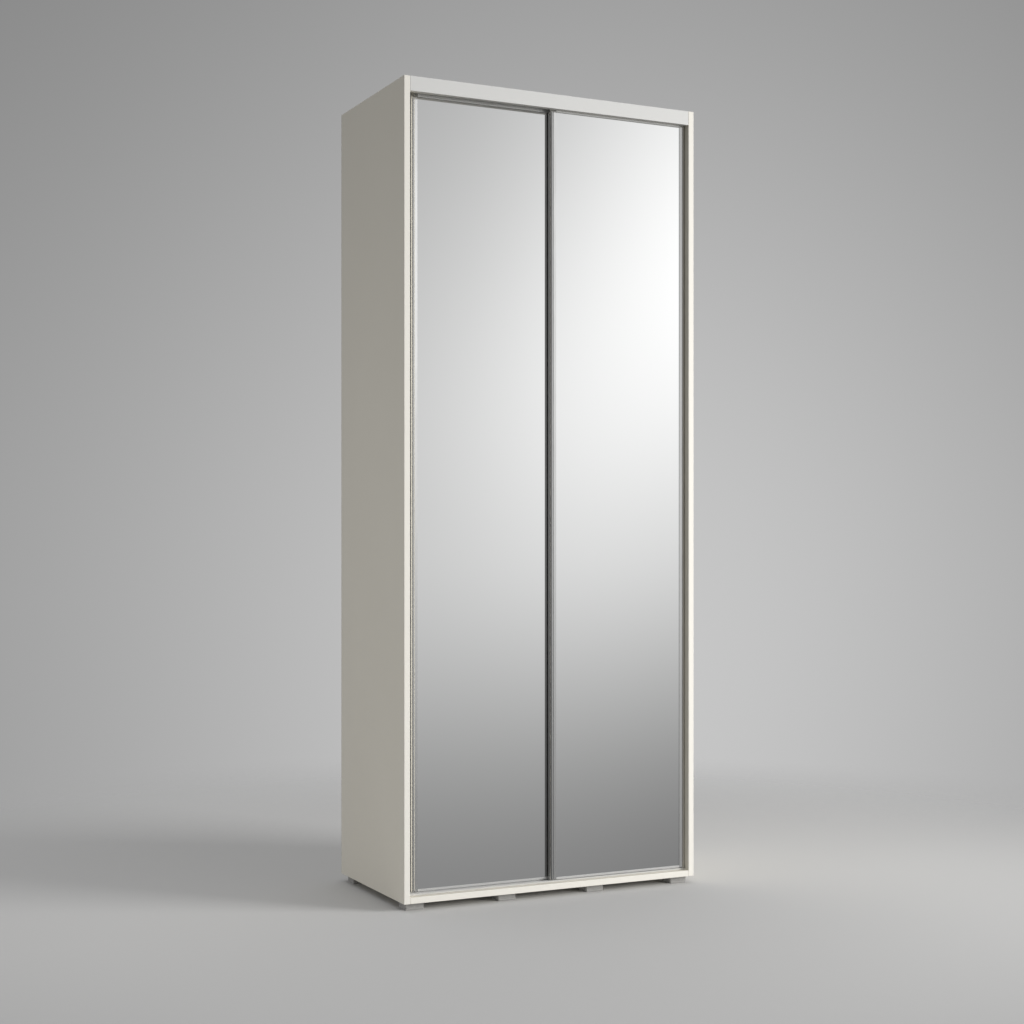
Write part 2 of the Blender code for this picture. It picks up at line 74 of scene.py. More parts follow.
# %% Area-weighted normals
def shade(mesh, sharp=35.0):
    """Smooth shading that leaves flats flat, as a mirror needs, and keeps edges sharper than an angle.

    A corner's normal is the sum of area * normal over the faces at its vertex that lie within the angle
    of its own face, so that a wide flat outweighs the narrow strips of a rounded edge beside it. A trace
    of the face's own normal comes first, so that the sum is never zero.
    """
    mesh.shade_smooth()
    mesh.set_sharp_from_angle(angle=math.radians(sharp))
    near_enough = math.cos(math.radians(sharp))
    corner_count = len(mesh.loops)
    vertex = np.empty(corner_count, dtype=np.int32)
    mesh.loops.foreach_get("vertex_index", vertex)
    sides = np.empty(len(mesh.polygons), dtype=np.int32)
    mesh.polygons.foreach_get("loop_total", sides)
    normal = np.empty(3 * len(sides), dtype=np.float32)
    mesh.polygons.foreach_get("normal", normal)
    normal = normal.reshape(-1, 3)
    area = np.empty(len(sides), dtype=np.float32)
    mesh.polygons.foreach_get("area", area)
    face = np.repeat(np.arange(len(sides)), sides)
    by_vertex = np.argsort(vertex, kind="stable")
    first = np.searchsorted(vertex[by_vertex], vertex)
    degree = np.bincount(vertex)[vertex]
    total = 1e-12 * normal[face]
    for k in range(int(degree.max())):
        other = face[by_vertex[np.minimum(first + k, corner_count - 1)]]
        near = (normal[face] * normal[other]).sum(axis=1) > near_enough
        total += np.where((k < degree) & near, area[other], 0.0)[:, None] * normal[other]
    mesh.normals_split_custom_set(total / np.linalg.norm(total, axis=1, keepdims=True))


# %% [markdown]
# ## From arrays to meshes
# Most pieces here are a profile carried along a straight line, turned about an axis, or a box with soft
# edges. They could be cubes and cylinders with modifiers, but a formula keeps every radius exact and lets
# one function serve many pieces. The helper closes the ends, welds what coincides and shades round parts.

# %% A mesh from a grid of points
WELD = 1e-6
SLIVER = 1e-7


def surface(name, points, caps=True, sharp=35.0):
    """A mesh from a grid of points (rows, columns, 3). Each row is a closed ring and joins the next row.

    Caps fill the first and the last ring. Doubles are welded, and the faces are made to point outwards.
    """
    rows, columns = points.shape[:2]
    here = np.arange(rows * columns).reshape(rows, columns)
    ahead = np.roll(here, -1, axis=1)
    quads = np.stack([here[:-1], ahead[:-1], ahead[1:], here[1:]], axis=-1).reshape(-1, 4)
    faces = quads.tolist()
    if caps:
        faces += [here[0, ::-1].tolist(), here[-1].tolist()]
    mesh = bpy.data.meshes.new(name)
    mesh.from_pydata(points.reshape(-1, 3).tolist(), [], faces)
    body = bmesh.new()
    body.from_mesh(mesh)
    bmesh.ops.remove_doubles(body, verts=body.verts, dist=WELD)
    bmesh.ops.dissolve_degenerate(body, edges=body.edges, dist=SLIVER)
    bmesh.ops.recalc_face_normals(body, faces=body.faces)
    body.to_mesh(mesh)
    body.free()
    shade(mesh, sharp)
    piece = bpy.data.objects.new(name, mesh)
    bpy.context.scene.collection.objects.link(piece)
    return piece


# %% [markdown]
# ## Outlines with eased corners
# No board, extrusion or pressing has a knife edge, and the thin highlight along an eased edge is what makes
# it look real. A Bevel modifier could cut them, but here each corner of an outline has its own cut, even a
# different one on each side.

# %% Eased outlines
def softened(outline, steps=4):
    """Rounds each corner of an outline: rows are x, y, cut before and cut after the corner.

    The rounding runs from (1-t)^2 of the first cut to t^2 of the second, a parabola that leaves each side
    in its own direction, so a long cut gives a wide bead and a short one a fine arris.
    """
    table = np.array(outline, float)
    corner = table[:, :2]
    towards_last = np.roll(corner, 1, axis=0) - corner
    towards_next = np.roll(corner, -1, axis=0) - corner
    towards_last /= np.linalg.norm(towards_last, axis=1, keepdims=True)
    towards_next /= np.linalg.norm(towards_next, axis=1, keepdims=True)
    t = np.linspace(0.0, 1.0, steps + 1)[None, :, None]
    first = (table[:, 2:3] * towards_last)[:, None, :]
    second = (table[:, 3:4] * towards_next)[:, None, :]
    return (corner[:, None, :] + (1 - t) ** 2 * first + t ** 2 * second).reshape(-1, 2)


def eased(outline, cut, steps=3):
    """An outline with the same small cut at each corner, given as (x, y) pairs."""
    table = np.array(outline, float)
    cuts = np.full((len(table), 2), cut)
    return softened(np.hstack([table, cuts]), steps)


print("a square with eased corners has", len(eased([(0, 0), (1, 0), (1, 1), (0, 1)], 0.1)), "points")

# %% [markdown]
# ## Three ways to make a piece
# A bar or a channel is an outline carried along an axis, as metal is pressed through a die. A wheel or a pin
# is a profile turned about an axis, as on a lathe. A board or a sheet is a box with rounded edges.

# %% Carried, turned and boxed pieces
def carried(name, outline, axis, low, high):
    """A straight extrusion: the outline (n, 2) stands in the other two axes, in X, Y, Z order."""
    others = [i for i in range(3) if i != axis]
    points = np.zeros((2, len(outline), 3))
    points[:, :, others[0]] = outline[:, 0]
    points[:, :, others[1]] = outline[:, 1]
    points[:, :, axis] = np.array([low, high])[:, None]
    return surface(name, points)


def turned(name, profile, centre, segments=48, axis=1):
    """A turned piece: the profile's rows are a radius and a place along the axis, spun through a full turn.

    A point is centre + radius * (cos a, sin a) across the axis + place along it. Nothing caps the ends: a
    profile closes itself, or starts and ends at radius 0.
    """
    angle = np.linspace(0.0, 2 * np.pi, segments, endpoint=False)
    others = [i for i in range(3) if i != axis]
    profile = np.array(profile, float)
    points = np.zeros((len(profile), segments, 3))
    points[:, :, others[0]] = profile[:, :1] * np.cos(angle)
    points[:, :, others[1]] = profile[:, :1] * np.sin(angle)
    points[:, :, axis] = profile[:, 1:2]
    return surface(name, points + np.array(centre), caps=False)


def soft_box(name, low, high, radius, steps=4):
    """A box with rounded edges: each corner is an eighth of a sphere, and the flats join them.

    A point is sign * (half size - radius) + radius * (the sphere's direction), all about the middle.
    """
    middle = (low + high) / 2
    half = (high - low) / 2 - radius
    quarter = np.linspace(0.0, np.pi / 2, steps + 1)
    turn = np.concatenate([quarter + k * np.pi / 2 for k in range(4)])
    sign_x = np.repeat([1.0, -1.0, -1.0, 1.0], steps + 1)
    sign_y = np.repeat([1.0, 1.0, -1.0, -1.0], steps + 1)
    rise = np.concatenate([quarter - np.pi / 2, quarter])
    sign_z = np.repeat([-1.0, 1.0], steps + 1)
    x = sign_x[None] * half[0] + radius * np.cos(rise)[:, None] * np.cos(turn)[None]
    y = sign_y[None] * half[1] + radius * np.cos(rise)[:, None] * np.sin(turn)[None]
    z = (sign_z * half[2] + radius * np.sin(rise))[:, None] + 0 * x
    return surface(name, np.stack([x, y, z], axis=-1) + middle)


# %% [markdown]
# ## Fitting a piece to its place
# The frame already has a body for each thing that moves. A new piece rides on its node's body, so that a
# door carries its mirror and its rollers along, and it stands for the plain node that it replaces.

# %% Fitting pieces
def fit(piece, node, finish):
    """Lets a piece ride on its node's body, stand for the node, and take a finish."""
    piece.data.materials.clear()
    piece.data.materials.append(finish)
    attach(piece, body_of_node[node])
    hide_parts(node)
    return piece


def detail(piece, near_node, finish):
    """Lets a small extra piece ride with a node's body, without hiding any node."""
    piece.data.materials.clear()
    piece.data.materials.append(finish)
    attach(piece, body_of_node[near_node])
    return piece


# %% [markdown]
# ## A small kit for finishes
# Every finish reads Object coordinates, so that its grain stays in place and has its real size in metres.
# A finish is built from the same few steps: stretch the coordinates, take a noise, map it to a narrow band
# of colour or roughness, and feed a bump. The helper class keeps each tree short to read.

# %% A shader helper
class Finish:
    """A Principled material with short names for the nodes that finishes share."""

    def __init__(self, name, roughness=0.5, metallic=0.0, colour=(0.8, 0.8, 0.8)):
        self.material = bpy.data.materials.new(name)
        self.material.use_nodes = True
        self.nodes = self.material.node_tree.nodes
        self.links = self.material.node_tree.links
        self.shader = self.nodes["Principled BSDF"]
        self.shader.inputs["Roughness"].default_value = roughness
        self.shader.inputs["Metallic"].default_value = metallic
        self.shader.inputs["Base Color"].default_value = (*colour, 1.0)
        self.place = self.nodes.new("ShaderNodeTexCoord").outputs["Object"]

    def stretched(self, x, y, z):
        """Object coordinates, scaled along each axis."""
        node = self.nodes.new("ShaderNodeMapping")
        node.inputs["Scale"].default_value = (x, y, z)
        self.links.new(self.place, node.inputs["Vector"])
        return node.outputs["Vector"]

    def noise(self, vector, scale, detail=3.0, rough=0.55):
        """Smooth noise at a scale given in waves a metre."""
        node = self.nodes.new("ShaderNodeTexNoise")
        node.inputs["Scale"].default_value = scale
        node.inputs["Detail"].default_value = detail
        node.inputs["Roughness"].default_value = rough
        self.links.new(vector, node.inputs["Vector"])
        return node.outputs["Fac"]

    def band(self, value, low, high, start=0.3, end=0.7):
        """A value between start and end becomes one between low and high."""
        node = self.nodes.new("ShaderNodeMapRange")
        for name, number in (("From Min", start), ("From Max", end), ("To Min", low), ("To Max", high)):
            node.inputs[name].default_value = number
        self.links.new(value, node.inputs["Value"])
        return node.outputs["Result"]

    def axis(self, name):
        """One Object coordinate."""
        node = self.nodes.new("ShaderNodeSeparateXYZ")
        self.links.new(self.place, node.inputs["Vector"])
        return node.outputs[name]

    def maths(self, operation, first, second):
        """One step of arithmetic; second may be a number."""
        node = self.nodes.new("ShaderNodeMath")
        node.operation = operation
        for socket, value in zip(node.inputs, (first, second)):
            if isinstance(value, (int, float)):
                socket.default_value = value
            else:
                self.links.new(value, socket)
        return node.outputs["Value"]

    def mixed(self, value, first, second):
        """A colour between two colours or colour outputs, by a value from 0 to 1."""
        node = self.nodes.new("ShaderNodeMix")
        node.data_type = "RGBA"
        self.links.new(value, node.inputs[0])
        for socket, colour in zip((node.inputs[6], node.inputs[7]), (first, second)):
            if isinstance(colour, tuple):
                socket.default_value = (*colour, 1.0)
            else:
                self.links.new(colour, socket)
        return node.outputs[2]

    def colour(self, output):
        """Takes an output as the base colour."""
        self.links.new(output, self.shader.inputs["Base Color"])

    def roughness(self, output):
        """Takes an output as the roughness."""
        self.links.new(output, self.shader.inputs["Roughness"])

    def bump(self, height, strength, distance):
        """A bump whose full height is distance, in metres."""
        node = self.nodes.new("ShaderNodeBump")
        node.inputs["Strength"].default_value = strength
        node.inputs["Distance"].default_value = distance
        self.links.new(height, node.inputs["Height"])
        self.links.new(node.outputs["Normal"], self.shader.inputs["Normal"])


# %% [markdown]
# ## Melamine board and its edge bands
# The carcass is chipboard faced with ivory melamine paper. Its faces have a fine pearl texture, and its
# edges carry a glued band whose joint with the face shows as a hairline. A texture could be painted, but
# noise in metres gives the pearl its true size on every board, and a mask on one coordinate draws the band.
# The fascia is a slightly greyer board, and the boards inside are a shade darker.

# %% Ivory melamine
BAND_THICKNESS = 0.8 * MM
BAND_LINE = 0.35 * MM
LINE_WEIGHT = 0.45
CLOUD_SCALE = 3.0
SPECK_SCALE = 210.0
PEARL_SCALE = 950.0
IVORY = {"light": (0.870, 0.832, 0.735), "deep": (0.848, 0.808, 0.708), "dull": (0.825, 0.785, 0.68),
         "band": (0.905, 0.880, 0.815), "line": (0.55, 0.51, 0.44)}
FASCIA_TONE = (0.82, 0.845, 0.90)
INSIDE_TONE = (0.985, 0.985, 0.985)


def ivory_board(name, front, tone=(1.0, 1.0, 1.0)):
    """Ivory board: a cloudy tint, a pearl bump, a paler band at the front edge and a hairline behind it.

    Front is the Y of the board's front edge, and tone multiplies every colour.
    """
    look = Finish(name, roughness=0.42)
    cloud = look.noise(look.stretched(1, 1, 1), CLOUD_SCALE, detail=4)
    pearl = look.noise(look.stretched(1, 1, 1), PEARL_SCALE, detail=2)
    speck = look.noise(look.stretched(1, 1, 1), SPECK_SCALE, detail=3)
    ivory = {name: tuple(t * c for t, c in zip(tone, colour)) for name, colour in IVORY.items()}
    face = look.mixed(look.band(cloud, 0, 1), ivory["deep"], ivory["light"])
    face = look.mixed(look.band(speck, 0, 0.35, 0.6, 0.8), face, ivory["dull"])
    behind = look.maths("SUBTRACT", look.axis("Y"), front)
    banded = look.maths("LESS_THAN", behind, BAND_THICKNESS)
    in_line = look.maths("COMPARE", behind, BAND_THICKNESS)
    in_line.node.inputs[2].default_value = BAND_LINE / 2
    edge = look.mixed(banded, face, ivory["band"])
    look.colour(look.mixed(look.maths("MULTIPLY", in_line, LINE_WEIGHT), edge, ivory["line"]))
    look.roughness(look.band(cloud, 0.36, 0.46))
    look.bump(pearl, 0.35, 0.05 * MM)
    return look.material


front_of_carcass = corners("side_panel_left")[0][1]
front_of_inside = corners("partition")[0][1]
board_outside = ivory_board("ivory_melamine_outside", front_of_carcass)
fascia_finish = ivory_board("ivory_melamine_fascia", front_of_carcass, FASCIA_TONE)
board_inside = ivory_board("ivory_melamine_inside", front_of_inside, INSIDE_TONE)
top_finish = ivory_board("ivory_melamine_top", corners("top_panel")[0][1])
print("edge bands start at y =", round(float(front_of_carcass), 4), "and", round(float(front_of_inside), 4))

# %% [markdown]
# ## The boards
# Sides, bottom, top, fascia, partition and shelves are all the same kind of board, so one soft box serves
# them all. The edge is barely rounded, as a scraper leaves it. Each board takes the finish of its place.

# %% Boards
BOARD_EDGE = 1.0 * MM
finish_of_board = {node: board_outside for node in ("side_panel_left", "side_panel_right", "bottom_panel")}
finish_of_board["fascia"] = fascia_finish
finish_of_board.update({node: board_inside for node in ("partition", "hat_shelf")})
finish_of_board.update({f"shelf_{number}": board_inside for number in range(1, 5)})
finish_of_board["top_panel"] = top_finish
for node, finish in finish_of_board.items():
    low, high = corners(node)
    fit(soft_box(f"{node}_board", low, high, BOARD_EDGE), node, finish)
print(len(finish_of_board), "boards with", BOARD_EDGE / MM, "mm arrises")

# %% [markdown]
# ## The thin back
# The back is white-lacquered hardboard in two panels, nailed to the carcass and joined by a plastic strip.
# Its lacquer lies over pressed fibres, so the finish has a fine bump of fibres drawn out upwards, and a
# wide, faint change of tint.

# %% Hardboard panels
hardboard = Finish("lacquered_hardboard", roughness=0.55)
fibres = hardboard.noise(hardboard.stretched(1, 1, 0.35), 240.0, detail=5)
patches = hardboard.noise(hardboard.stretched(1, 1, 1), 5.0)
hardboard.colour(hardboard.mixed(hardboard.band(patches, 0, 1), (0.80, 0.775, 0.71), (0.84, 0.82, 0.76)))
hardboard.roughness(hardboard.band(fibres, 0.48, 0.66))
hardboard.bump(fibres, 0.5, 0.08 * MM)

HARDBOARD_EDGE = 0.4 * MM
for side in ("left", "right"):
    low, high = corners(f"back_panel_{side}")
    sheet = soft_box(f"back_panel_{side}_sheet", low, high, HARDBOARD_EDGE)
    fit(sheet, f"back_panel_{side}", hardboard.material)

print("back panels", round(float(high[2] - low[2]), 3), "m high")

# %% [markdown]
# ## The joining strip
# The two back panels meet on a white plastic strip with a T section: its flange lies inside them, and its
# web fills the gap between them. It is an extrusion, so the T is an outline carried upwards.

# %% The joining strip
white_plastic = Finish("white_plastic", roughness=0.38)
skin = white_plastic.noise(white_plastic.stretched(1, 1, 1), 1400.0)
haze = white_plastic.noise(white_plastic.stretched(1, 1, 1), 30.0)
white_plastic.colour(
    white_plastic.mixed(white_plastic.band(haze, 0, 1), (0.80, 0.80, 0.775), (0.84, 0.84, 0.82)))
white_plastic.roughness(white_plastic.band(haze, 0.32, 0.46))
white_plastic.bump(skin, 0.3, 0.03 * MM)

STRIP_FLANGE = 1.2 * MM
STRIP_EASE = 0.25 * MM
WEB_CLEARANCE = 0.3 * MM
strip_low, strip_high = corners("back_joining_strip")
middle = (strip_low[0] + strip_high[0]) / 2
gap_between_panels = corners("back_panel_right")[0][0] - corners("back_panel_left")[1][0]
half_web = 0.5 * gap_between_panels - WEB_CLEARANCE
half_flange = strip_high[0] - middle
flange_top = strip_low[1] + STRIP_FLANGE
strip_outline = eased([
    (middle - half_flange, strip_low[1]), (middle + half_flange, strip_low[1]),
    (middle + half_flange, flange_top), (middle + half_web, flange_top),
    (middle + half_web, strip_high[1]), (middle - half_web, strip_high[1]),
    (middle - half_web, flange_top), (middle - half_flange, flange_top)], STRIP_EASE, steps=4)
strip = carried("back_joining_strip_t", strip_outline, 2, strip_low[2], strip_high[2])
fit(strip, "back_joining_strip", white_plastic.material)
print("the strip's web is", round(float(2 * half_web / MM), 2), "mm thick")


# %% [markdown]
# ## Nails
# The nails could be left out, but they are what a person sees first from behind. They share one small domed
# shape, copied to every place as a single mesh, which is far lighter than one object for each nail.

# %% Nails
def stamped(name, shape, faces, places):
    """Copies one small shape (n, 3) to many places (m, 3) as a single mesh, with whole-array sums."""
    points = (places[:, None, :] + shape[None]).reshape(-1, 3)
    shift = (np.arange(len(places)) * len(shape))[:, None]
    all_faces = []
    for face in faces:
        all_faces += (shift + np.array(face)[None]).tolist()
    mesh = bpy.data.meshes.new(name)
    mesh.from_pydata(points.tolist(), [], all_faces)
    shade(mesh, 50)
    piece = bpy.data.objects.new(name, mesh)
    bpy.context.scene.collection.objects.link(piece)
    return piece


def dome(radius, height, sides=10):
    """A low closed dome that looks along +Y: a flat disc behind, two rings and a crown.

    The second ring has 0.7 of the radius and stands at 0.75 of the height.
    """
    angle = np.linspace(0, 2 * np.pi, sides, endpoint=False)
    ring = np.stack([np.cos(angle), 0 * angle, np.sin(angle)], axis=-1)
    shape = np.concatenate([radius * ring, 0.7 * radius * ring + [0, 0.75 * height, 0], [[0, height, 0]]])
    faces = [[k, (k + 1) % sides, sides + (k + 1) % sides, sides + k] for k in range(sides)]
    faces += [[sides + k, sides + (k + 1) % sides, 2 * sides] for k in range(sides)]
    faces.append(list(range(sides))[::-1])
    return shape, [face[::-1] for face in faces]


nail_steel = Finish("bright_nail_steel", roughness=0.35, metallic=1.0, colour=(0.62, 0.62, 0.63))
nail_steel.roughness(nail_steel.band(nail_steel.noise(nail_steel.stretched(1, 1, 1), 600.0), 0.28, 0.5))
back_low = corners("back_panel_left")[0]
back_high = corners("back_panel_right")[1]
NAIL_INSET = 9 * MM
NAIL_SUNK = 0.45 * MM
NAIL_RADIUS = 1.6 * MM
NAIL_HEIGHT = 0.44 * MM
UPRIGHT_MARGIN = 30 * MM
LEVEL_MARGIN = 60 * MM
up = np.linspace(back_low[2] + UPRIGHT_MARGIN, back_high[2] - UPRIGHT_MARGIN, 18)
across = np.linspace(back_low[0] + LEVEL_MARGIN, back_high[0] - LEVEL_MARGIN, 7)
sides_x = (back_low[0] + NAIL_INSET, back_high[0] - NAIL_INSET)
nails = [(x, z) for x in sides_x for z in up]
nails += [(x, z) for x in across for z in (back_low[2] + NAIL_INSET, back_high[2] - NAIL_INSET)]
nails = np.array(nails)
nail_places = np.stack([nails[:, 0], np.full(len(nails), back_high[1] - NAIL_SUNK), nails[:, 1]], axis=-1)
nail_shape, nail_faces = dome(NAIL_RADIUS, NAIL_HEIGHT)
detail(stamped("back_nails", nail_shape, nail_faces, nail_places), "back_panel_left", nail_steel.material)
print(len(nails), "nails hold the back")

# %% [markdown]
# ## Feet
# The wardrobe stands on eight flat grey feet, moulded with shallow level ribs. Each foot is a rounded
# rectangle lofted upwards, and a cosine pulls the outline in and out to make the ribs. Cutting grooves
# with Booleans would work too, but a loft keeps the rib's soft shape and needs no clean-up.

# %% Ribbed feet
foot_plastic = Finish("grey_foot_plastic", roughness=0.5)
mottle = foot_plastic.noise(foot_plastic.stretched(1, 1, 1), 120.0, detail=4)
grain = foot_plastic.noise(foot_plastic.stretched(1, 1, 1), 1700.0)
foot_plastic.colour(
    foot_plastic.mixed(foot_plastic.band(mottle, 0, 1), (0.36, 0.355, 0.345), (0.42, 0.415, 0.405)))
foot_plastic.roughness(foot_plastic.band(mottle, 0.42, 0.6))
foot_plastic.bump(grain, 0.4, 0.04 * MM)

RIB_PITCH = 5.4 * MM
RIB_DEPTH = 0.9 * MM
FOOT_CORNER = 4 * MM
FOOT_END = 1.0 * MM
FOOT_END_CUT = 0.5 * MM
FOOT_LEVELS = 45


def rounded_rectangle(half_x, half_y, radius, steps=6):
    """The outline of a rectangle about the origin, with quarter circles for corners."""
    quarter = np.linspace(0.0, np.pi / 2, steps + 1)
    turn = np.concatenate([quarter + k * np.pi / 2 for k in range(4)])
    sign = np.repeat(np.array([[1, 1], [-1, 1], [-1, -1], [1, -1]]), steps + 1, axis=0)
    core = np.array([half_x - radius, half_y - radius])
    return sign * core + radius * np.stack([np.cos(turn), np.sin(turn)], axis=-1)


def ribbed_foot(node):
    """A foot whose outline is pulled in by depth * (1 + cos(2 pi z / pitch)) / 2.

    Near its top and bottom it is pulled in further, by cut * (1 - distance to the end / reach)^2.
    """
    low, high = corners(node)
    middle = (low + high) / 2
    half = (high - low) / 2
    z = np.linspace(low[2], high[2], FOOT_LEVELS)
    pull = RIB_DEPTH * (1 + np.cos(2 * np.pi * (z - low[2]) / RIB_PITCH)) / 2
    ends = np.minimum(z - low[2], high[2] - z) / FOOT_END
    pull = pull + FOOT_END_CUT * np.clip(1 - ends, 0, 1) ** 2
    outline = rounded_rectangle(half[0], half[1], FOOT_CORNER)
    inward = outline / np.linalg.norm(outline, axis=1, keepdims=True)
    points = np.zeros((len(z), len(outline), 3))
    points[:, :, :2] = middle[:2] + outline[None] - pull[:, None, None] * inward[None]
    points[:, :, 2] = z[:, None]
    return surface(f"{node}_ribbed", points, sharp=60)


for row in ("front", "back"):
    for number in range(1, 5):
        fit(ribbed_foot(f"foot_{row}_{number}"), f"foot_{row}_{number}", foot_plastic.material)
print("8 feet with ribs every", RIB_PITCH / MM, "mm")

# %% [markdown]
# ## Satin aluminium
# The door frames and tracks are extruded aluminium with a satin anodised skin. Extrusion and brushing
# leave fine lines along the length, so the noise is stretched strongly along that axis. Two finishes are
# kept, one with its lines upright and one with them level, because the lines follow each bar. Level lines
# scatter light up and down, so those bars look paler and flatter; a lower metallic value stands in for that.

# %% Satin aluminium, upright and level
ALUMINIUM_TINT = (0.86, 0.86, 0.85)
MARK_TINT = tuple(0.95 * channel for channel in ALUMINIUM_TINT)
LINE_SCALE = 900.0
MARK_SCALE = 160.0
DRAWN_OUT = 0.012
LEVEL_METALLIC = 0.55


def satin_aluminium(name, stretch, metallic):
    """Anodised aluminium with lines along one axis: stretch is the scale along X, Y and Z."""
    look = Finish(name, roughness=0.3, metallic=metallic, colour=ALUMINIUM_TINT)
    lines = look.noise(look.stretched(*stretch), LINE_SCALE, detail=3, rough=0.7)
    cloud = look.noise(look.stretched(1, 1, 1), 6.0)
    mark = look.noise(look.stretched(*stretch), MARK_SCALE, detail=2)
    look.roughness(look.maths("ADD", look.band(lines, 0.14, 0.24), look.band(cloud, 0.0, 0.04)))
    look.colour(look.mixed(look.band(mark, 0, 1), MARK_TINT, ALUMINIUM_TINT))
    look.bump(lines, 0.25, 0.02 * MM)
    return look.material


upright_aluminium = satin_aluminium("satin_aluminium_upright", (1.0, 1.0, DRAWN_OUT), 1.0)
level_aluminium = satin_aluminium("satin_aluminium_level", (DRAWN_OUT, 1.0, 1.0), LEVEL_METALLIC)
print("aluminium lines are drawn out", round(1 / DRAWN_OUT), "times along each bar")

# %% [markdown]
# ## Tracks
# The top track is one extrusion with a roof, a web and a ledge for each door; the rollers run on the
# ledges. The bottom track only guides: two low channels keep the doors from swinging. Both are outlines
# carried along X with every corner eased, since an extrusion die never leaves a knife edge.

# %% Top and bottom tracks
DOOR_THICKNESS = 16 * MM
LANE_GAP = 2.5 * MM
LANE_PITCH = DOOR_THICKNESS + LANE_GAP
TRACK_SHEET = 1.5 * MM
TRACK_LEDGE = 6.5 * MM
EASE = 0.3 * MM

low, high = corners("top_track")
depth, tall = high[1] - low[1], high[2] - low[2]
under_roof = tall - TRACK_SHEET
first_web, second_web = TRACK_SHEET, LANE_PITCH + TRACK_SHEET
track_outline = eased([
    (0, 0), (first_web + TRACK_LEDGE, 0), (first_web + TRACK_LEDGE, TRACK_SHEET), (first_web, TRACK_SHEET),
    (first_web, under_roof), (LANE_PITCH, under_roof), (LANE_PITCH, 0), (second_web + TRACK_LEDGE, 0),
    (second_web + TRACK_LEDGE, TRACK_SHEET), (second_web, TRACK_SHEET), (second_web, under_roof),
    (depth, under_roof), (depth, tall), (0, tall)], EASE)
top_track = carried("top_track_extrusion", track_outline + [low[1], low[2]], 0, low[0], high[0])
fit(top_track, "top_track", level_aluminium)

GUIDE_THICKNESS = 3 * MM
GUIDE_PLAY = 0.5 * MM
CHANNEL_BASE = 1.2 * MM
CHANNEL_WALL = 1.2 * MM
low, high = corners("bottom_track")
depth, tall = high[1] - low[1], high[2] - low[2]
centre = DOOR_THICKNESS / 2
free = GUIDE_THICKNESS / 2 + GUIDE_PLAY
starts = [0.0, centre - free - CHANNEL_WALL, centre + free,
          LANE_PITCH + centre - free - CHANNEL_WALL, LANE_PITCH + centre + free, depth - CHANNEL_WALL]
channel_line = [(depth, 0.0), (0.0, 0.0), (0.0, tall), (CHANNEL_WALL, tall), (CHANNEL_WALL, CHANNEL_BASE)]
for start in starts[1:-1]:
    channel_line += [(start, CHANNEL_BASE), (start, tall), (start + CHANNEL_WALL, tall),
                     (start + CHANNEL_WALL, CHANNEL_BASE)]
channel_line += [(starts[-1], CHANNEL_BASE), (starts[-1], tall), (depth, tall)]
channel_outline = eased(channel_line, EASE) + [low[1], low[2]]
bottom_track = carried("bottom_track_extrusion", channel_outline, 0, low[0], high[0])
fit(bottom_track, "bottom_track", level_aluminium)
print("tracks", round(float(high[0] - low[0]), 3), "m long; channel walls", len(starts))

# %% [markdown]
# ## Door frames
# Each upright is one bar. From the outer edge inwards it shows a rounded bead, a shallow flute and a lip
# that falls a little towards the glass it holds. Those three bands give the thin dark and bright lines that
# read as a frame, so the section is drawn point by point and carried up the door.

# %% Uprights
ROUND_WIDTH = 6.5 * MM
ROUND_DEPTH = 5.0 * MM
FLUTE_WIDTH = 3.5 * MM
FLUTE_DEPTH = 1.2 * MM
STILE_WIDTH = 19.0 * MM
GLASS_SLOT = 12.0 * MM
FRAME_LIP = 1.8 * MM
RAIL_WEB = 2.6 * MM
EDGE_EASE = 0.35 * MM
LIP_FALL = 0.9 * MM


def stile_section(inward):
    """The bar's section, from its outer edge inwards; inward is +1 on a left bar and -1 on a right one.

    The bead is a quarter ellipse, width * (1 - cos a), depth * (1 - sin a), and the flute a half sine. Each
    eased corner has one point part of the way round, 0.3 of the ease from the true corner.
    """
    a = np.linspace(0.0, np.pi / 2, 17)
    bead = np.stack([ROUND_WIDTH * (1 - np.cos(a)), ROUND_DEPTH * (1 - np.sin(a))], axis=-1)
    share = np.linspace(0.0, 1.0, 15)[1:]
    flute = np.stack([ROUND_WIDTH + FLUTE_WIDTH * share, FLUTE_DEPTH * np.sin(np.pi * share)], axis=-1)
    ease, part = EDGE_EASE, 0.3 * EDGE_EASE
    back = DOOR_THICKNESS
    lip = [(STILE_WIDTH - ease, LIP_FALL), (STILE_WIDTH - part, LIP_FALL + part / 3),
           (STILE_WIDTH, LIP_FALL + ease), (STILE_WIDTH, FRAME_LIP), (GLASS_SLOT, FRAME_LIP)]
    rear = [(GLASS_SLOT, back - FRAME_LIP), (STILE_WIDTH, back - FRAME_LIP), (STILE_WIDTH, back - ease),
            (STILE_WIDTH - part, back - part), (STILE_WIDTH - ease, back), (ease, back), (part, back - part),
            (0.0, back - ease)]
    outline = np.concatenate([bead, flute, lip, rear])
    return outline * [inward, 1.0]


def make_stile(node, inward):
    """A door upright, its section carried from the bottom to the top."""
    low, high = corners(node)
    edge = low[0] if inward > 0 else high[0]
    outline = stile_section(inward) + [edge, low[1]]
    return fit(carried(f"{node}_bar", outline, 2, low[2], high[2]), node, upright_aluminium)


# %% [markdown]
# ## Cross rails
# A narrow channel holds the glass above and below. Its web faces out of the door and its two lips grip the
# glass and its backing, so the lips point down on the top rail and up on the bottom one.

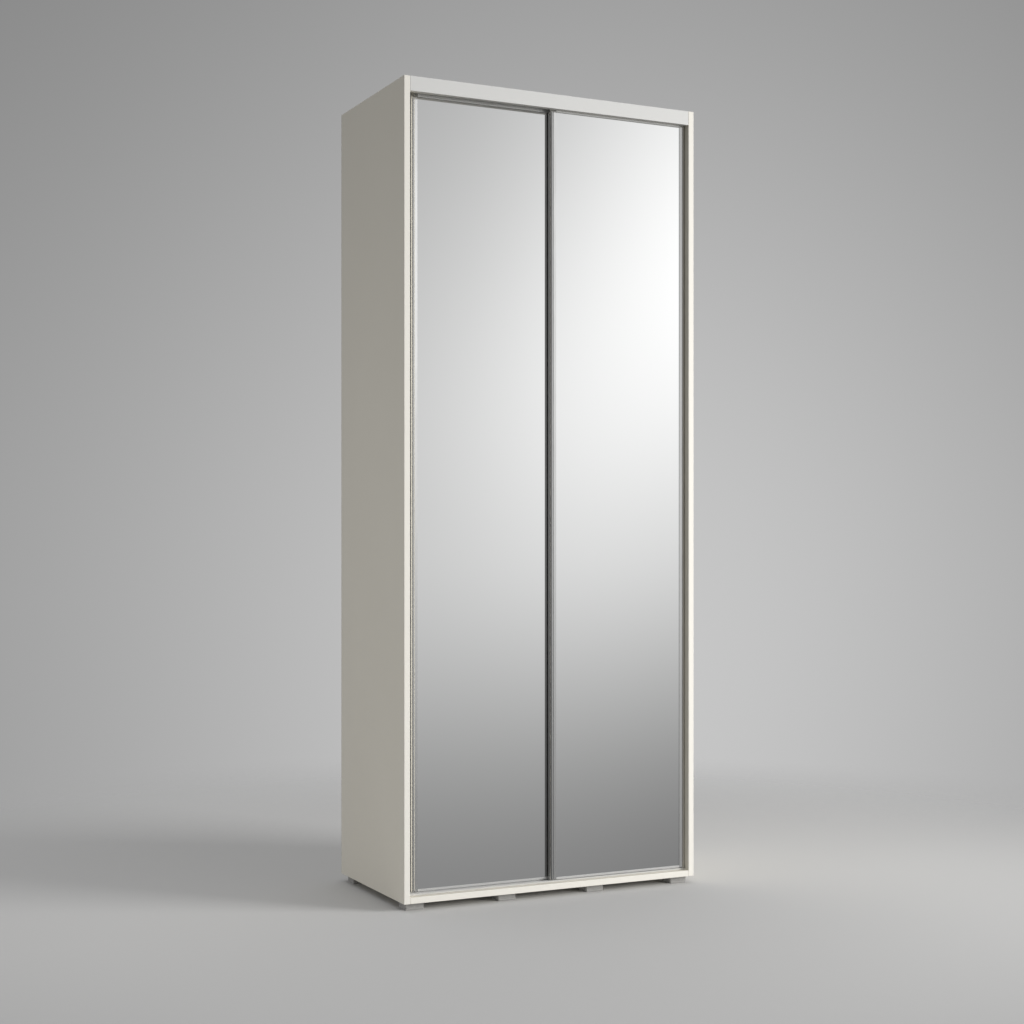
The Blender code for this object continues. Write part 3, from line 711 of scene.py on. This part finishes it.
# %% Cross rails
def make_rail(node, upward):
    """A cross rail: a web with a front and a back lip; upward is +1 if the lips point up and -1 if down."""
    low, high = corners(node)
    tall, back = high[2] - low[2], DOOR_THICKNESS
    channel = [(0, 0), (back, 0), (back, tall), (back - FRAME_LIP, tall), (back - FRAME_LIP, RAIL_WEB),
               (FRAME_LIP, RAIL_WEB), (FRAME_LIP, tall), (0, tall)]
    web_side = low[2] if upward > 0 else high[2]
    outline = eased(channel, EASE) * [1.0, upward] + [low[1], web_side]
    return fit(carried(f"{node}_channel", outline, 0, low[0], high[0]), node, level_aluminium)


doors = ("left_door", "right_door")
for door in doors:
    make_stile(f"{door}_stile_left", 1.0)
    make_stile(f"{door}_stile_right", -1.0)
    make_rail(f"{door}_top_rail", -1.0)
    make_rail(f"{door}_bottom_rail", 1.0)
print("door frames:", 2 * len(doors), "uprights and", 2 * len(doors), "rails")

# %% [markdown]
# ## Mirrors and their backing
# A wardrobe mirror is 4 mm float glass, silvered behind. Modelled as real glass it would need two faces
# and many light bounces, so it is one bright metallic skin with a polished edge. Float glass is never quite
# flat: a very weak, very wide bump lets reflections drift a little, and a faint haze varies the roughness.

# %% Mirrors and backing boards
mirror = Finish("silvered_mirror", roughness=0.015, metallic=1.0, colour=(0.885, 0.889, 0.886))
haze = mirror.noise(mirror.stretched(1, 1, 0.6), 7.0, detail=5, rough=0.65)
drift = mirror.noise(mirror.stretched(1, 1, 1), 2.2, detail=1)
mirror.roughness(mirror.band(haze, 0.006, 0.03, 0.45, 0.75))
mirror.bump(drift, 0.08, 0.3 * MM)

fibreboard = Finish("door_backing_board", roughness=0.7)
flecks = fibreboard.noise(fibreboard.stretched(1, 1, 0.4), 420.0, detail=5, rough=0.7)
tone = fibreboard.noise(fibreboard.stretched(1, 1, 1), 4.0)
plain = fibreboard.mixed(fibreboard.band(tone, 0, 1), (0.37, 0.31, 0.24), (0.43, 0.365, 0.285))
fibreboard.colour(fibreboard.mixed(fibreboard.band(flecks, 0, 0.5, 0.5, 0.75), plain, (0.27, 0.22, 0.165)))
fibreboard.roughness(fibreboard.band(flecks, 0.6, 0.8))
fibreboard.bump(flecks, 0.5, 0.08 * MM)

GLASS_EDGE = 0.7 * MM
BACKING_EDGE = 0.4 * MM
for door in doors:
    for part, radius, finish in (("mirror", GLASS_EDGE, mirror), ("backing", BACKING_EDGE, fibreboard)):
        low, high = corners(f"{door}_{part}")
        fit(soft_box(f"{door}_{part}_sheet", low, high, radius), f"{door}_{part}", finish.material)
    print(door, "backing board", np.round(high - low, 3))

# %% [markdown]
# ## Running gear
# Each door hangs from two bent steel hangers. A pin through each hanger carries a nylon roller, and small
# plastic fins under the door run in the bottom track. Zinc plating has a fine spangle and moulded nylon a
# faint swirl, so each finish rests on a noise at its own scale.

# %% Plated steel and nylon
zinc = Finish("bright_zinc", roughness=0.34, metallic=1.0, colour=(0.66, 0.67, 0.68))
spangle = zinc.noise(zinc.stretched(1, 1, 1), 320.0, detail=3)
patina = zinc.noise(zinc.stretched(1, 1, 1), 45.0)
zinc.colour(zinc.mixed(zinc.band(patina, 0, 1), (0.58, 0.59, 0.60), (0.70, 0.71, 0.72)))
zinc.roughness(zinc.band(spangle, 0.26, 0.44))
zinc.bump(spangle, 0.2, 0.02 * MM)

nylon = Finish("white_nylon", roughness=0.36)
swirl = nylon.noise(nylon.stretched(1, 1, 1), 260.0)
nylon.colour(nylon.mixed(nylon.band(swirl, 0, 1), (0.74, 0.74, 0.71), (0.80, 0.80, 0.775)))
nylon.roughness(nylon.band(swirl, 0.3, 0.44))
nylon.bump(swirl, 0.25, 0.02 * MM)

# %% [markdown]
# ## Rollers and pins
# A roller is turned nylon with eased edges and a shallow recess round its hub, and its pin is a headed
# length of steel. Both are a profile spun about the Y axis. The bore leaves the pin a little play.

# %% Rollers and pins
BORE = 1.65 * MM
PIN = 1.5 * MM
HUB = 2.5 * MM
RECESS = 0.35 * MM
RIM = 0.8 * MM


def make_roller(node):
    """A roller with an eased tread and a hub that stands in a shallow recess on both sides.

    The profile runs outwards along one side, across the tread and back along the other side, mirrored.
    """
    low, high = corners(node)
    centre = (low + high) / 2
    radius, half = (high[2] - low[2]) / 2, (high[1] - low[1]) / 2
    arris = 0.1 * MM
    side = [(BORE, -half + arris), (BORE + arris, -half), (HUB, -half), (HUB + arris, -half + RECESS),
            (radius - RIM - arris, -half + RECESS), (radius - RIM, -half), (radius - 3 * arris, -half),
            (radius - 0.8 * arris, -half + 2.5 * arris)]
    tread = [(radius, -0.5 * half), (radius, 0.5 * half)]
    profile = side + tread + [(r, -y) for r, y in side[::-1]] + side[:1]
    return fit(turned(f"{node}_wheel", profile, centre, 56), node, nylon.material)


def make_axle(node):
    """A headed pin, 0.42 mm thick at its head, which has a small dome; its far end is rounded over."""
    low, high = corners(node)
    centre = (low + high) / 2
    head = (high[2] - low[2]) / 2
    start, end = low[1] - centre[1], high[1] - centre[1]
    profile = [(0, start), (0.6 * head, start + 0.03 * MM), (head - 0.1 * MM, start + 0.15 * MM),
               (head, start + 0.3 * MM), (head - 0.05 * MM, start + 0.4 * MM), (PIN, start + 0.42 * MM),
               (PIN, end - 0.35 * MM), (PIN - 0.15 * MM, end - 0.1 * MM), (0.5 * PIN, end), (0, end)]
    return fit(turned(f"{node}_pin", profile, centre, 32), node, zinc.material)


print("a bore leaves its pin", round((BORE - PIN) / MM, 2), "mm all round")


# %% [markdown]
# ## Hangers
# A hanger is one strip of sheet steel, bent to an L: a foot screwed to the door's top rail, and an upright
# with a hole for the pin. A Boolean could bore the hole, but a ring of sections round it needs none and
# eases both rims of the hole.

# %% Hangers
HANGER_SHEET = 2.0 * MM
PLATE_EASE = 0.2 * MM
BEND_OUTSIDE = 1.6 * MM
BEND_INSIDE = 0.5 * MM
BEND_RISE = 1.2 * MM


def ring_plate(name, low, high, centre, bore):
    """An upright plate with a round hole: at each angle a section runs from the hole to the outer edge.

    The outer edge follows the rectangle max(|x| / half x, |z| / half z) = 1, so the corners stay square.
    """
    angle = np.linspace(0, 2 * np.pi, 96, endpoint=False)
    ray = np.stack([np.cos(angle), np.sin(angle)], axis=-1)
    ahead = np.array([high[0] - centre[0], high[2] - centre[2]])
    behind = np.array([centre[0] - low[0], centre[2] - low[2]])
    far = 1.0 / np.max(np.abs(ray) / np.where(ray > 0, ahead, behind), axis=1)
    ease, front, back = PLATE_EASE, low[1], high[1]
    section = [(bore, front + ease), (bore + ease, front), (far - ease, front), (far, front + ease),
               (far, back - ease), (far - ease, back), (bore + ease, back), (bore, back - ease),
               (bore, front + ease)]
    points = np.zeros((len(section), len(angle), 3))
    for row, (radius, y) in enumerate(section):
        points[row, :, 0] = centre[0] + radius * ray[:, 0]
        points[row, :, 1] = y
        points[row, :, 2] = centre[2] + radius * ray[:, 1]
    return surface(name, points, caps=False)


def joined(name, *shells):
    """Several shells as one object that keeps the first one's mesh."""
    body = bmesh.new()
    for shell in shells:
        body.from_mesh(shell.data)
    body.to_mesh(shells[0].data)
    body.free()
    shade(shells[0].data)
    for shell in shells[1:]:
        bpy.data.objects.remove(shell, do_unlink=True)
    shells[0].name = name
    return shells[0]


def make_hanger(node, axle):
    """A bent hanger: a foot on the rail, a rounded bend and a bored plate beside the roller."""
    low, high = corners(node)
    pin = (corners(axle)[0] + corners(axle)[1]) / 2
    front, back = low[1], high[1]
    inner = back - HANGER_SHEET
    foot_top = low[2] + HANGER_SHEET
    bend_top = foot_top + BEND_RISE
    outline = softened([
        (front, low[2], EASE, EASE), (back, low[2], BEND_OUTSIDE, BEND_OUTSIDE), (back, bend_top, 0, 0),
        (inner, bend_top, 0, 0), (inner, foot_top, BEND_INSIDE, BEND_INSIDE),
        (front, foot_top, EASE, EASE)], steps=6)
    foot = carried(f"{node}_foot", outline, 0, low[0], high[0])
    plate = ring_plate(f"{node}_plate", np.array([low[0], inner, bend_top]), high, pin, BORE)
    return fit(joined(f"{node}_bracket", foot, plate), node, zinc.material)


# %% [markdown]
# ## Guides and screws
# A fin under each end of a door slides in the bottom track, with a nose that can't catch on the channel.
# Each hanger's foot shows two domed screw heads. They share the nails' shape, turned to look upwards.

# %% Guides, screws and the gear of both doors
NOSE = 2.4 * MM
NOSE_SHARE = 0.45


def make_guide(node):
    """A guide fin: a thin blade with a rounded nose at each end, so that it slides into the channel."""
    low, high = corners(node)
    blunt = NOSE_SHARE * (high[1] - low[1])
    outline = softened([(low[0], low[1], blunt, NOSE), (high[0], low[1], NOSE, blunt),
                        (high[0], high[1], blunt, NOSE), (low[0], high[1], NOSE, blunt)], steps=6)
    return fit(carried(f"{node}_fin", outline, 2, low[2], high[2]), node, white_plastic.material)


SCREW_OUT = 13 * MM
SCREW_FROM_EDGE = 3.2 * MM
SCREW_RADIUS = 2.3 * MM
SCREW_HEIGHT = 0.7 * MM
screw_shape, screw_faces = dome(SCREW_RADIUS, SCREW_HEIGHT, 14)
screw_shape = np.stack([screw_shape[:, 0], -screw_shape[:, 2], screw_shape[:, 1]], axis=-1)
for door in doors:
    for end in ("left", "right"):
        make_roller(f"{door}_roller_{end}")
        make_axle(f"{door}_axle_{end}")
        hanger = f"{door}_hanger_{end}"
        make_hanger(hanger, f"{door}_axle_{end}")
        make_guide(f"{door}_guide_{end}")
        low, high = corners(hanger)
        middle = (low[0] + high[0]) / 2
        seat = np.array([[middle + out, low[1] + SCREW_FROM_EDGE, low[2] + HANGER_SHEET]
                         for out in (-SCREW_OUT, SCREW_OUT)])
        detail(stamped(f"{hanger}_screws", screw_shape, screw_faces, seat), hanger, zinc.material)
print("4 hangers, each with a roller, a pin, two screws and a guide fin below")

# %% [markdown]
# ## Seals
# A brush pile closes the gap at the left side, and a second one stands between the doors. A pile is
# thousands of fibres, far too many to model one by one. A thin body with a rippled skin and a streaked,
# rough finish reads as a dense brush, and it stays light enough to move with its door.

# %% Seal holder and brush piles
pile_finish = Finish("grey_brush_pile", roughness=0.9)
strands = pile_finish.noise(pile_finish.stretched(0.08, 0.3, 1), 1500.0, detail=3, rough=0.8)
clumps = pile_finish.noise(pile_finish.stretched(1, 1, 1), 130.0)
dark = pile_finish.mixed(pile_finish.band(clumps, 0, 1), (0.16, 0.155, 0.15), (0.22, 0.215, 0.205))
pile_finish.colour(pile_finish.mixed(pile_finish.band(strands, 0, 0.7, 0.35, 0.7), dark, (0.36, 0.35, 0.33)))
pile_finish.roughness(pile_finish.band(strands, 0.8, 0.98))
pile_finish.bump(strands, 0.9, 0.3 * MM)

RIPPLE = 3.1 * MM
RIPPLE_DEPTH = 0.25 * MM
SECOND_RIPPLE = 1.7 * RIPPLE
LEVELS_PER_RIPPLE = 4
TIP_TAPER = 0.22


def brush(node, tip_axis, tip_sign):
    """A pile strip: its outline tapers to the fibre tips, and sines of unlike pitch ripple it up its length.

    The outline is pulled in by depth * (2 + sin(2 pi z / p) + sin(2 pi z / q + 1)) / 4, where p and q are
    the two pitches. Tip_axis and tip_sign say which way the fibres point.
    """
    low, high = corners(node)
    middle = (low + high) / 2
    half = (high - low) / 2
    z = np.linspace(low[2], high[2], LEVELS_PER_RIPPLE * int((high[2] - low[2]) / RIPPLE))
    outline = rounded_rectangle(half[0], half[1], 0.45 * min(half[0], half[1]), 2)
    towards_tip = tip_sign * outline[:, tip_axis] / half[tip_axis]
    taper = 1.0 - TIP_TAPER * np.clip(towards_tip, 0, 1) ** 2
    outline[:, 1 - tip_axis] *= taper
    wave = (2 + np.sin(2 * np.pi * z / RIPPLE) + np.sin(2 * np.pi * z / SECOND_RIPPLE + 1)) / 4
    inward = outline / np.linalg.norm(outline, axis=1, keepdims=True)
    points = np.zeros((len(z), len(outline), 3))
    points[:, :, :2] = middle[:2] + outline[None] - RIPPLE_DEPTH * wave[:, None, None] * inward[None]
    points[:, :, 2] = z[:, None]
    return fit(surface(f"{node}_brush", points, sharp=70), node, pile_finish.material)


GROOVE_DEPTH = 1.0 * MM
HALF_GROOVE = 2.7 * MM
low, high = corners("seal_holder")
groove_floor = high[0] - GROOVE_DEPTH
groove_front = (low[1] + high[1]) / 2 - HALF_GROOVE
groove_back = groove_front + 2 * HALF_GROOVE
holder_outline = eased([
    (low[0], low[1]), (high[0], low[1]), (high[0], groove_front), (groove_floor, groove_front),
    (groove_floor, groove_back), (high[0], groove_back), (high[0], high[1]), (low[0], high[1])], EASE)
fit(carried("seal_holder_bar", holder_outline, 2, low[2], high[2]), "seal_holder", upright_aluminium)
brush("seal_pile", 0, 1.0)
brush("right_door_pile", 1, 1.0)
print("2 brush piles, rippled every", RIPPLE / MM, "mm")

# %% [markdown]
# ## Hanging rail
# Clothes hang from an oval steel tube, plated and bright, held at each end in a plastic socket. The tube
# is an oval carried along X with a second oval inside it, so that its open ends show a real wall. The
# sockets are cups: the outline goes out to a rounded rim and back down into the pocket.

# %% Oval rail and sockets
chrome = Finish("plated_rail_steel", roughness=0.14, metallic=1.0, colour=(0.78, 0.785, 0.79))
wipe = chrome.noise(chrome.stretched(0.03, 1, 1), 500.0, detail=3)
film = chrome.noise(chrome.stretched(1, 1, 1), 25.0, detail=4)
chrome.roughness(chrome.maths("ADD", chrome.band(film, 0.06, 0.16), chrome.band(wipe, 0.0, 0.06)))
chrome.bump(wipe, 0.12, 0.01 * MM)
TUBE_WALL = 1.2 * MM
TUBE_EASE = 0.2 * MM
SOCKET_WALL = 3.0 * MM
SOCKET_EASE = 0.3 * MM
HALF_TURN_POINTS = 25


def oval(half_y, half_z, inset):
    """A flat-sided oval in Y and Z: half circles joined by straight sides, made smaller by inset."""
    radius = half_y - inset
    turn = np.linspace(0, np.pi, HALF_TURN_POINTS)
    straight = half_z - half_y
    upper = np.stack([radius * np.cos(turn), straight + radius * np.sin(turn)], axis=-1)
    return np.concatenate([upper, -upper])


def oval_rows(name, centre, half_y, half_z, rows, caps):
    """Ovals set at places along X: each row is a place and an inset."""
    points = np.zeros((len(rows), 2 * HALF_TURN_POINTS, 3))
    for row, (x, inset) in enumerate(rows):
        points[row, :, 0] = x
        points[row, :, 1:] = centre[1:] + oval(half_y, half_z, inset)
    return surface(name, points, caps=caps)


low, high = corners("hanging_rail")
centre, half = (low + high) / 2, (high - low) / 2
start, end = low[0], high[0]
rows = [(start + TUBE_EASE, 0), (end - TUBE_EASE, 0), (end, TUBE_EASE), (end, TUBE_WALL - TUBE_EASE),
        (end - TUBE_EASE, TUBE_WALL), (start + TUBE_EASE, TUBE_WALL), (start, TUBE_WALL - TUBE_EASE),
        (start, TUBE_EASE), (start + TUBE_EASE, 0)]
fit(oval_rows("hanging_rail_tube", centre, half[1], half[2], rows, False), "hanging_rail", chrome.material)
for node, wall, rim, into in (("rail_socket_left", 0, 1, 1.0), ("rail_socket_right", 1, 0, -1.0)):
    both = corners(node)
    centre, half = (both[0] + both[1]) / 2, (both[1] - both[0]) / 2
    start, end = both[wall][0], both[rim][0]
    rows = [(start, SOCKET_EASE), (start + into * SOCKET_EASE, 0), (end - into * 3 * SOCKET_EASE, 0),
            (end - into * SOCKET_EASE, SOCKET_EASE), (end, 1.0 * MM), (end, SOCKET_WALL - 0.5 * MM),
            (end - into * 0.4 * MM, SOCKET_WALL), (start + into * SOCKET_WALL, SOCKET_WALL)]
    fit(oval_rows(f"{node}_cup", centre, half[1], half[2], rows, True), node, white_plastic.material)
print("rail tube", round(float(2 * half[2] - 2 * SOCKET_WALL), 4), "m high in its sockets")

# %% [markdown]
# ## A small kit for the surround
# The light all round the wardrobe is a formula on direction, built from the same few nodes as a finish: one
# step of arithmetic, a smooth ramp, and a soft patch of light about a chosen direction.

# %% The surround's helpers
world = bpy.data.worlds.new("soft_surround")
bpy.context.scene.world = world
world.use_nodes = True
tree = world.node_tree
background = tree.nodes["Background"]
direction = tree.nodes.new("ShaderNodeTexCoord").outputs["Generated"]


def step(operation, *values):
    """One step of arithmetic in the surround's tree."""
    node = tree.nodes.new("ShaderNodeMath")
    node.operation = operation
    for socket, value in zip(node.inputs, values):
        if isinstance(value, (int, float)):
            socket.default_value = value
        else:
            tree.links.new(value, socket)
    return node.outputs["Value"]


def ramp(value, start, end, low, high):
    """A smooth step from low to high while value goes from start to end."""
    node = tree.nodes.new("ShaderNodeMapRange")
    node.interpolation_type = "SMOOTHSTEP"
    for name, number in (("From Min", start), ("From Max", end), ("To Min", low), ("To Max", high)):
        node.inputs[name].default_value = number
    tree.links.new(value, node.inputs["Value"])
    return node.outputs["Result"]


def glow(azimuth, elevation, wide, tall, strength):
    """A soft patch of light: strength * exp(-(sideways / wide)^2 - (upwards / tall)^2) about a direction.

    Azimuth is measured from -Y towards +X, both angles in degrees; wide and tall are sines of angles. A
    patch of negative strength darkens instead.
    """
    turn, lift = math.radians(azimuth), math.radians(elevation)
    forward = (math.sin(turn) * math.cos(lift), -math.cos(turn) * math.cos(lift), math.sin(lift))
    sideways = (math.cos(turn), math.sin(turn), 0.0)
    upwards = (-math.sin(turn) * math.sin(lift), math.cos(turn) * math.sin(lift), math.cos(lift))
    parts = []
    for axis in (forward, sideways, upwards):
        node = tree.nodes.new("ShaderNodeVectorMath")
        node.operation = "DOT_PRODUCT"
        node.inputs[1].default_value = axis
        tree.links.new(direction, node.inputs[0])
        parts.append(node.outputs["Value"])
    across = step("POWER", step("DIVIDE", parts[1], wide), 2.0)
    along = step("POWER", step("DIVIDE", parts[2], tall), 2.0)
    fall = step("EXPONENT", step("MULTIPLY", step("ADD", across, along), -1.0))
    facing = ramp(parts[0], 0.0, 0.3, 0.0, 1.0)
    return step("MULTIPLY", step("MULTIPLY", fall, facing), strength)


# %% [markdown]
# ## A quiet studio
# Big mirrors show whatever stands before them, so two surrounds are mixed by the kind of ray. A ray that
# leaves a surface meets the studio: a gentle rise from the floor upwards, darker at the sides, with wide
# glows at the front right. A ray straight from the camera meets a pale backdrop with painted light on it.

# %% The surround
split = tree.nodes.new("ShaderNodeSeparateXYZ")
tree.links.new(direction, split.inputs["Vector"])
east, north, rise = (split.outputs[name] for name in ("X", "Y", "Z"))
# The front wall of the studio brightens from the floor up and dims again overhead.
front_height = step("MULTIPLY", ramp(rise, -0.22, 0.0, 0.26, 0.62), ramp(rise, 0.04, 0.40, 1.0, 0.60))
# It is brightest to the right of the middle, and dark past either side.
front_window = step("MULTIPLY", ramp(east, -0.12, 0.28, 0.28, 1.0), ramp(east, 0.68, 0.88, 1.0, 0.22))
front = step("MULTIPLY", step("MULTIPLY", front_height, front_window), ramp(north, -0.65, -0.2, 1.0, 0.22))
back = ramp(north, 0.1, 0.7, 0.0, 0.34)
overhead = ramp(rise, 0.45, 0.9, 0.0, 0.55)
studio = step("ADD", step("ADD", front, back), overhead)
# Three glows at the front right, and a dimmer patch below them.
for patch in (
        {"azimuth": 34.5, "elevation": 12.0, "wide": 0.115, "tall": 0.17, "strength": 0.50},
        {"azimuth": 28.0, "elevation": 4.0, "wide": 0.085, "tall": 0.13, "strength": 0.20},
        {"azimuth": 36.0, "elevation": 8.5, "wide": 0.135, "tall": 0.12, "strength": 0.17},
        {"azimuth": 36.0, "elevation": -7.0, "wide": 0.12, "tall": 0.13, "strength": -0.10}):
    studio = step("ADD", studio, glow(**patch))
# The backdrop is painted light: painted shade darkens it upwards, and a painted glow brightens it behind the
# wardrobe, just below eye level.
backdrop = step("ADD", ramp(rise, -0.05, 0.45, 0.30, 0.20), glow(150.5, -3.0, 0.29, 0.42, 0.27))
seen = tree.nodes.new("ShaderNodeLightPath").outputs["Is Camera Ray"]
lit = step("MULTIPLY", studio, step("SUBTRACT", 1.0, seen))
tree.links.new(step("ADD", lit, step("MULTIPLY", backdrop, seen)), background.inputs["Color"])

print("the surround has", len(tree.nodes), "nodes")

# %% [markdown]
# ## The floor
# The floor is one flat disc of rings. It fades out into the backdrop a few metres away, so no horizon shows,
# and it is hidden from reflections, so that the mirrors show only the studio.

# %% The floor
FLOOR_RADIUS = 40.0
FLOOR_INNER_RING = 0.5
FLOOR_FADE_START = 1.2
FLOOR_FADE_END = 3.2
rings = np.concatenate([[0.0], np.geomspace(FLOOR_INNER_RING, FLOOR_RADIUS, 24)])
floor = turned("studio_floor", [(r, 0.0) for r in rings], (0, 0, 0), 96, axis=2)
floor_finish = Finish("pale_floor", roughness=0.6, colour=(0.65, 0.65, 0.65))
dust = floor_finish.noise(floor_finish.stretched(1, 1, 1), 5.0, detail=6)
floor_finish.roughness(floor_finish.band(dust, 0.55, 0.65))
floor_finish.bump(dust, 0.05, 0.1 * MM)
floor_finish.shader.inputs["Specular IOR Level"].default_value = 0.0
distance = floor_finish.nodes.new("ShaderNodeVectorMath")
distance.operation = "LENGTH"
floor_finish.links.new(floor_finish.place, distance.inputs[0])
fade = floor_finish.band(distance.outputs["Value"], 1.0, 0.0, FLOOR_FADE_START, FLOOR_FADE_END)
fade.node.interpolation_type = "SMOOTHSTEP"
floor_finish.links.new(fade, floor_finish.shader.inputs["Alpha"])
floor.data.materials.append(floor_finish.material)
floor.visible_glossy = False
print("the floor fades from", FLOOR_FADE_START, "to", FLOOR_FADE_END, "m")

# %% [markdown]
# ## Lights
# A large soft key light at the front right models the boards, and a weak one at the left keeps the left side
# from going dull. A narrow spread keeps their light on the wardrobe and off the rest of the floor.

# %% Lights
SOFT_SPREAD = 75
WARM_WHITE = (1.0, 0.99, 0.97)


def area_light(name, place, target, size, power, colour):
    """A square soft light that is aimed at a point and isn't seen by the camera or in the mirrors.

    The lamp shines along its own -Z. Tilt turns that up from straight down, and pan turns it about Z.
    """
    lamp = bpy.data.lights.new(name, "AREA")
    lamp.shape = "SQUARE"
    lamp.size = size
    lamp.energy = power
    lamp.color = colour
    lamp.spread = math.radians(SOFT_SPREAD)
    light = bpy.data.objects.new(name, lamp)
    bpy.context.scene.collection.objects.link(light)
    from_point, to_point = np.array(place, float), np.array(target, float)
    aim = (to_point - from_point) / np.linalg.norm(to_point - from_point)
    pan = math.atan2(aim[0], -aim[1])
    tilt = math.acos(-aim[2])
    light.location = place
    light.rotation_euler = (tilt, 0.0, pan + math.pi)
    light.visible_glossy = False
    light.visible_camera = False
    return light


area_light("key_front_right", (4.5, -4.0, 2.1), (0.0, 0.0, 1.2), 2.6, 75.0, WARM_WHITE)
area_light("fill_left", (-4.0, -0.6, 1.25), (-0.5, 0.0, 1.15), 1.6, 4.0, WARM_WHITE)
bpy.context.scene.view_settings.view_transform = "Standard"
print("2 soft lights with a spread of", SOFT_SPREAD, "degrees")

# %% [markdown]
# ## The camera
# The view is level, from the front left, at about chest height, with a normal lens. A level camera keeps
# the boards' upright edges parallel; the small vertical shift moves the frame up without tilting it.

# %% Camera
CAMERA_PLACE = (-2.2956, -4.6770, 1.0411)
CAMERA_TURN = -25.98
LEVEL = 90.0
lens = bpy.data.cameras.new("camera")
lens.lens = 60.0
lens.sensor_width = 36.0
lens.shift_y = 0.028
camera = bpy.data.objects.new("camera", lens)
camera.location = CAMERA_PLACE
camera.rotation_euler = (math.radians(LEVEL), 0.0, math.radians(CAMERA_TURN))
bpy.context.scene.collection.objects.link(camera)
bpy.context.scene.camera = camera
print("camera", [round(number, 2) for number in CAMERA_PLACE], "turned", CAMERA_TURN, "degrees")
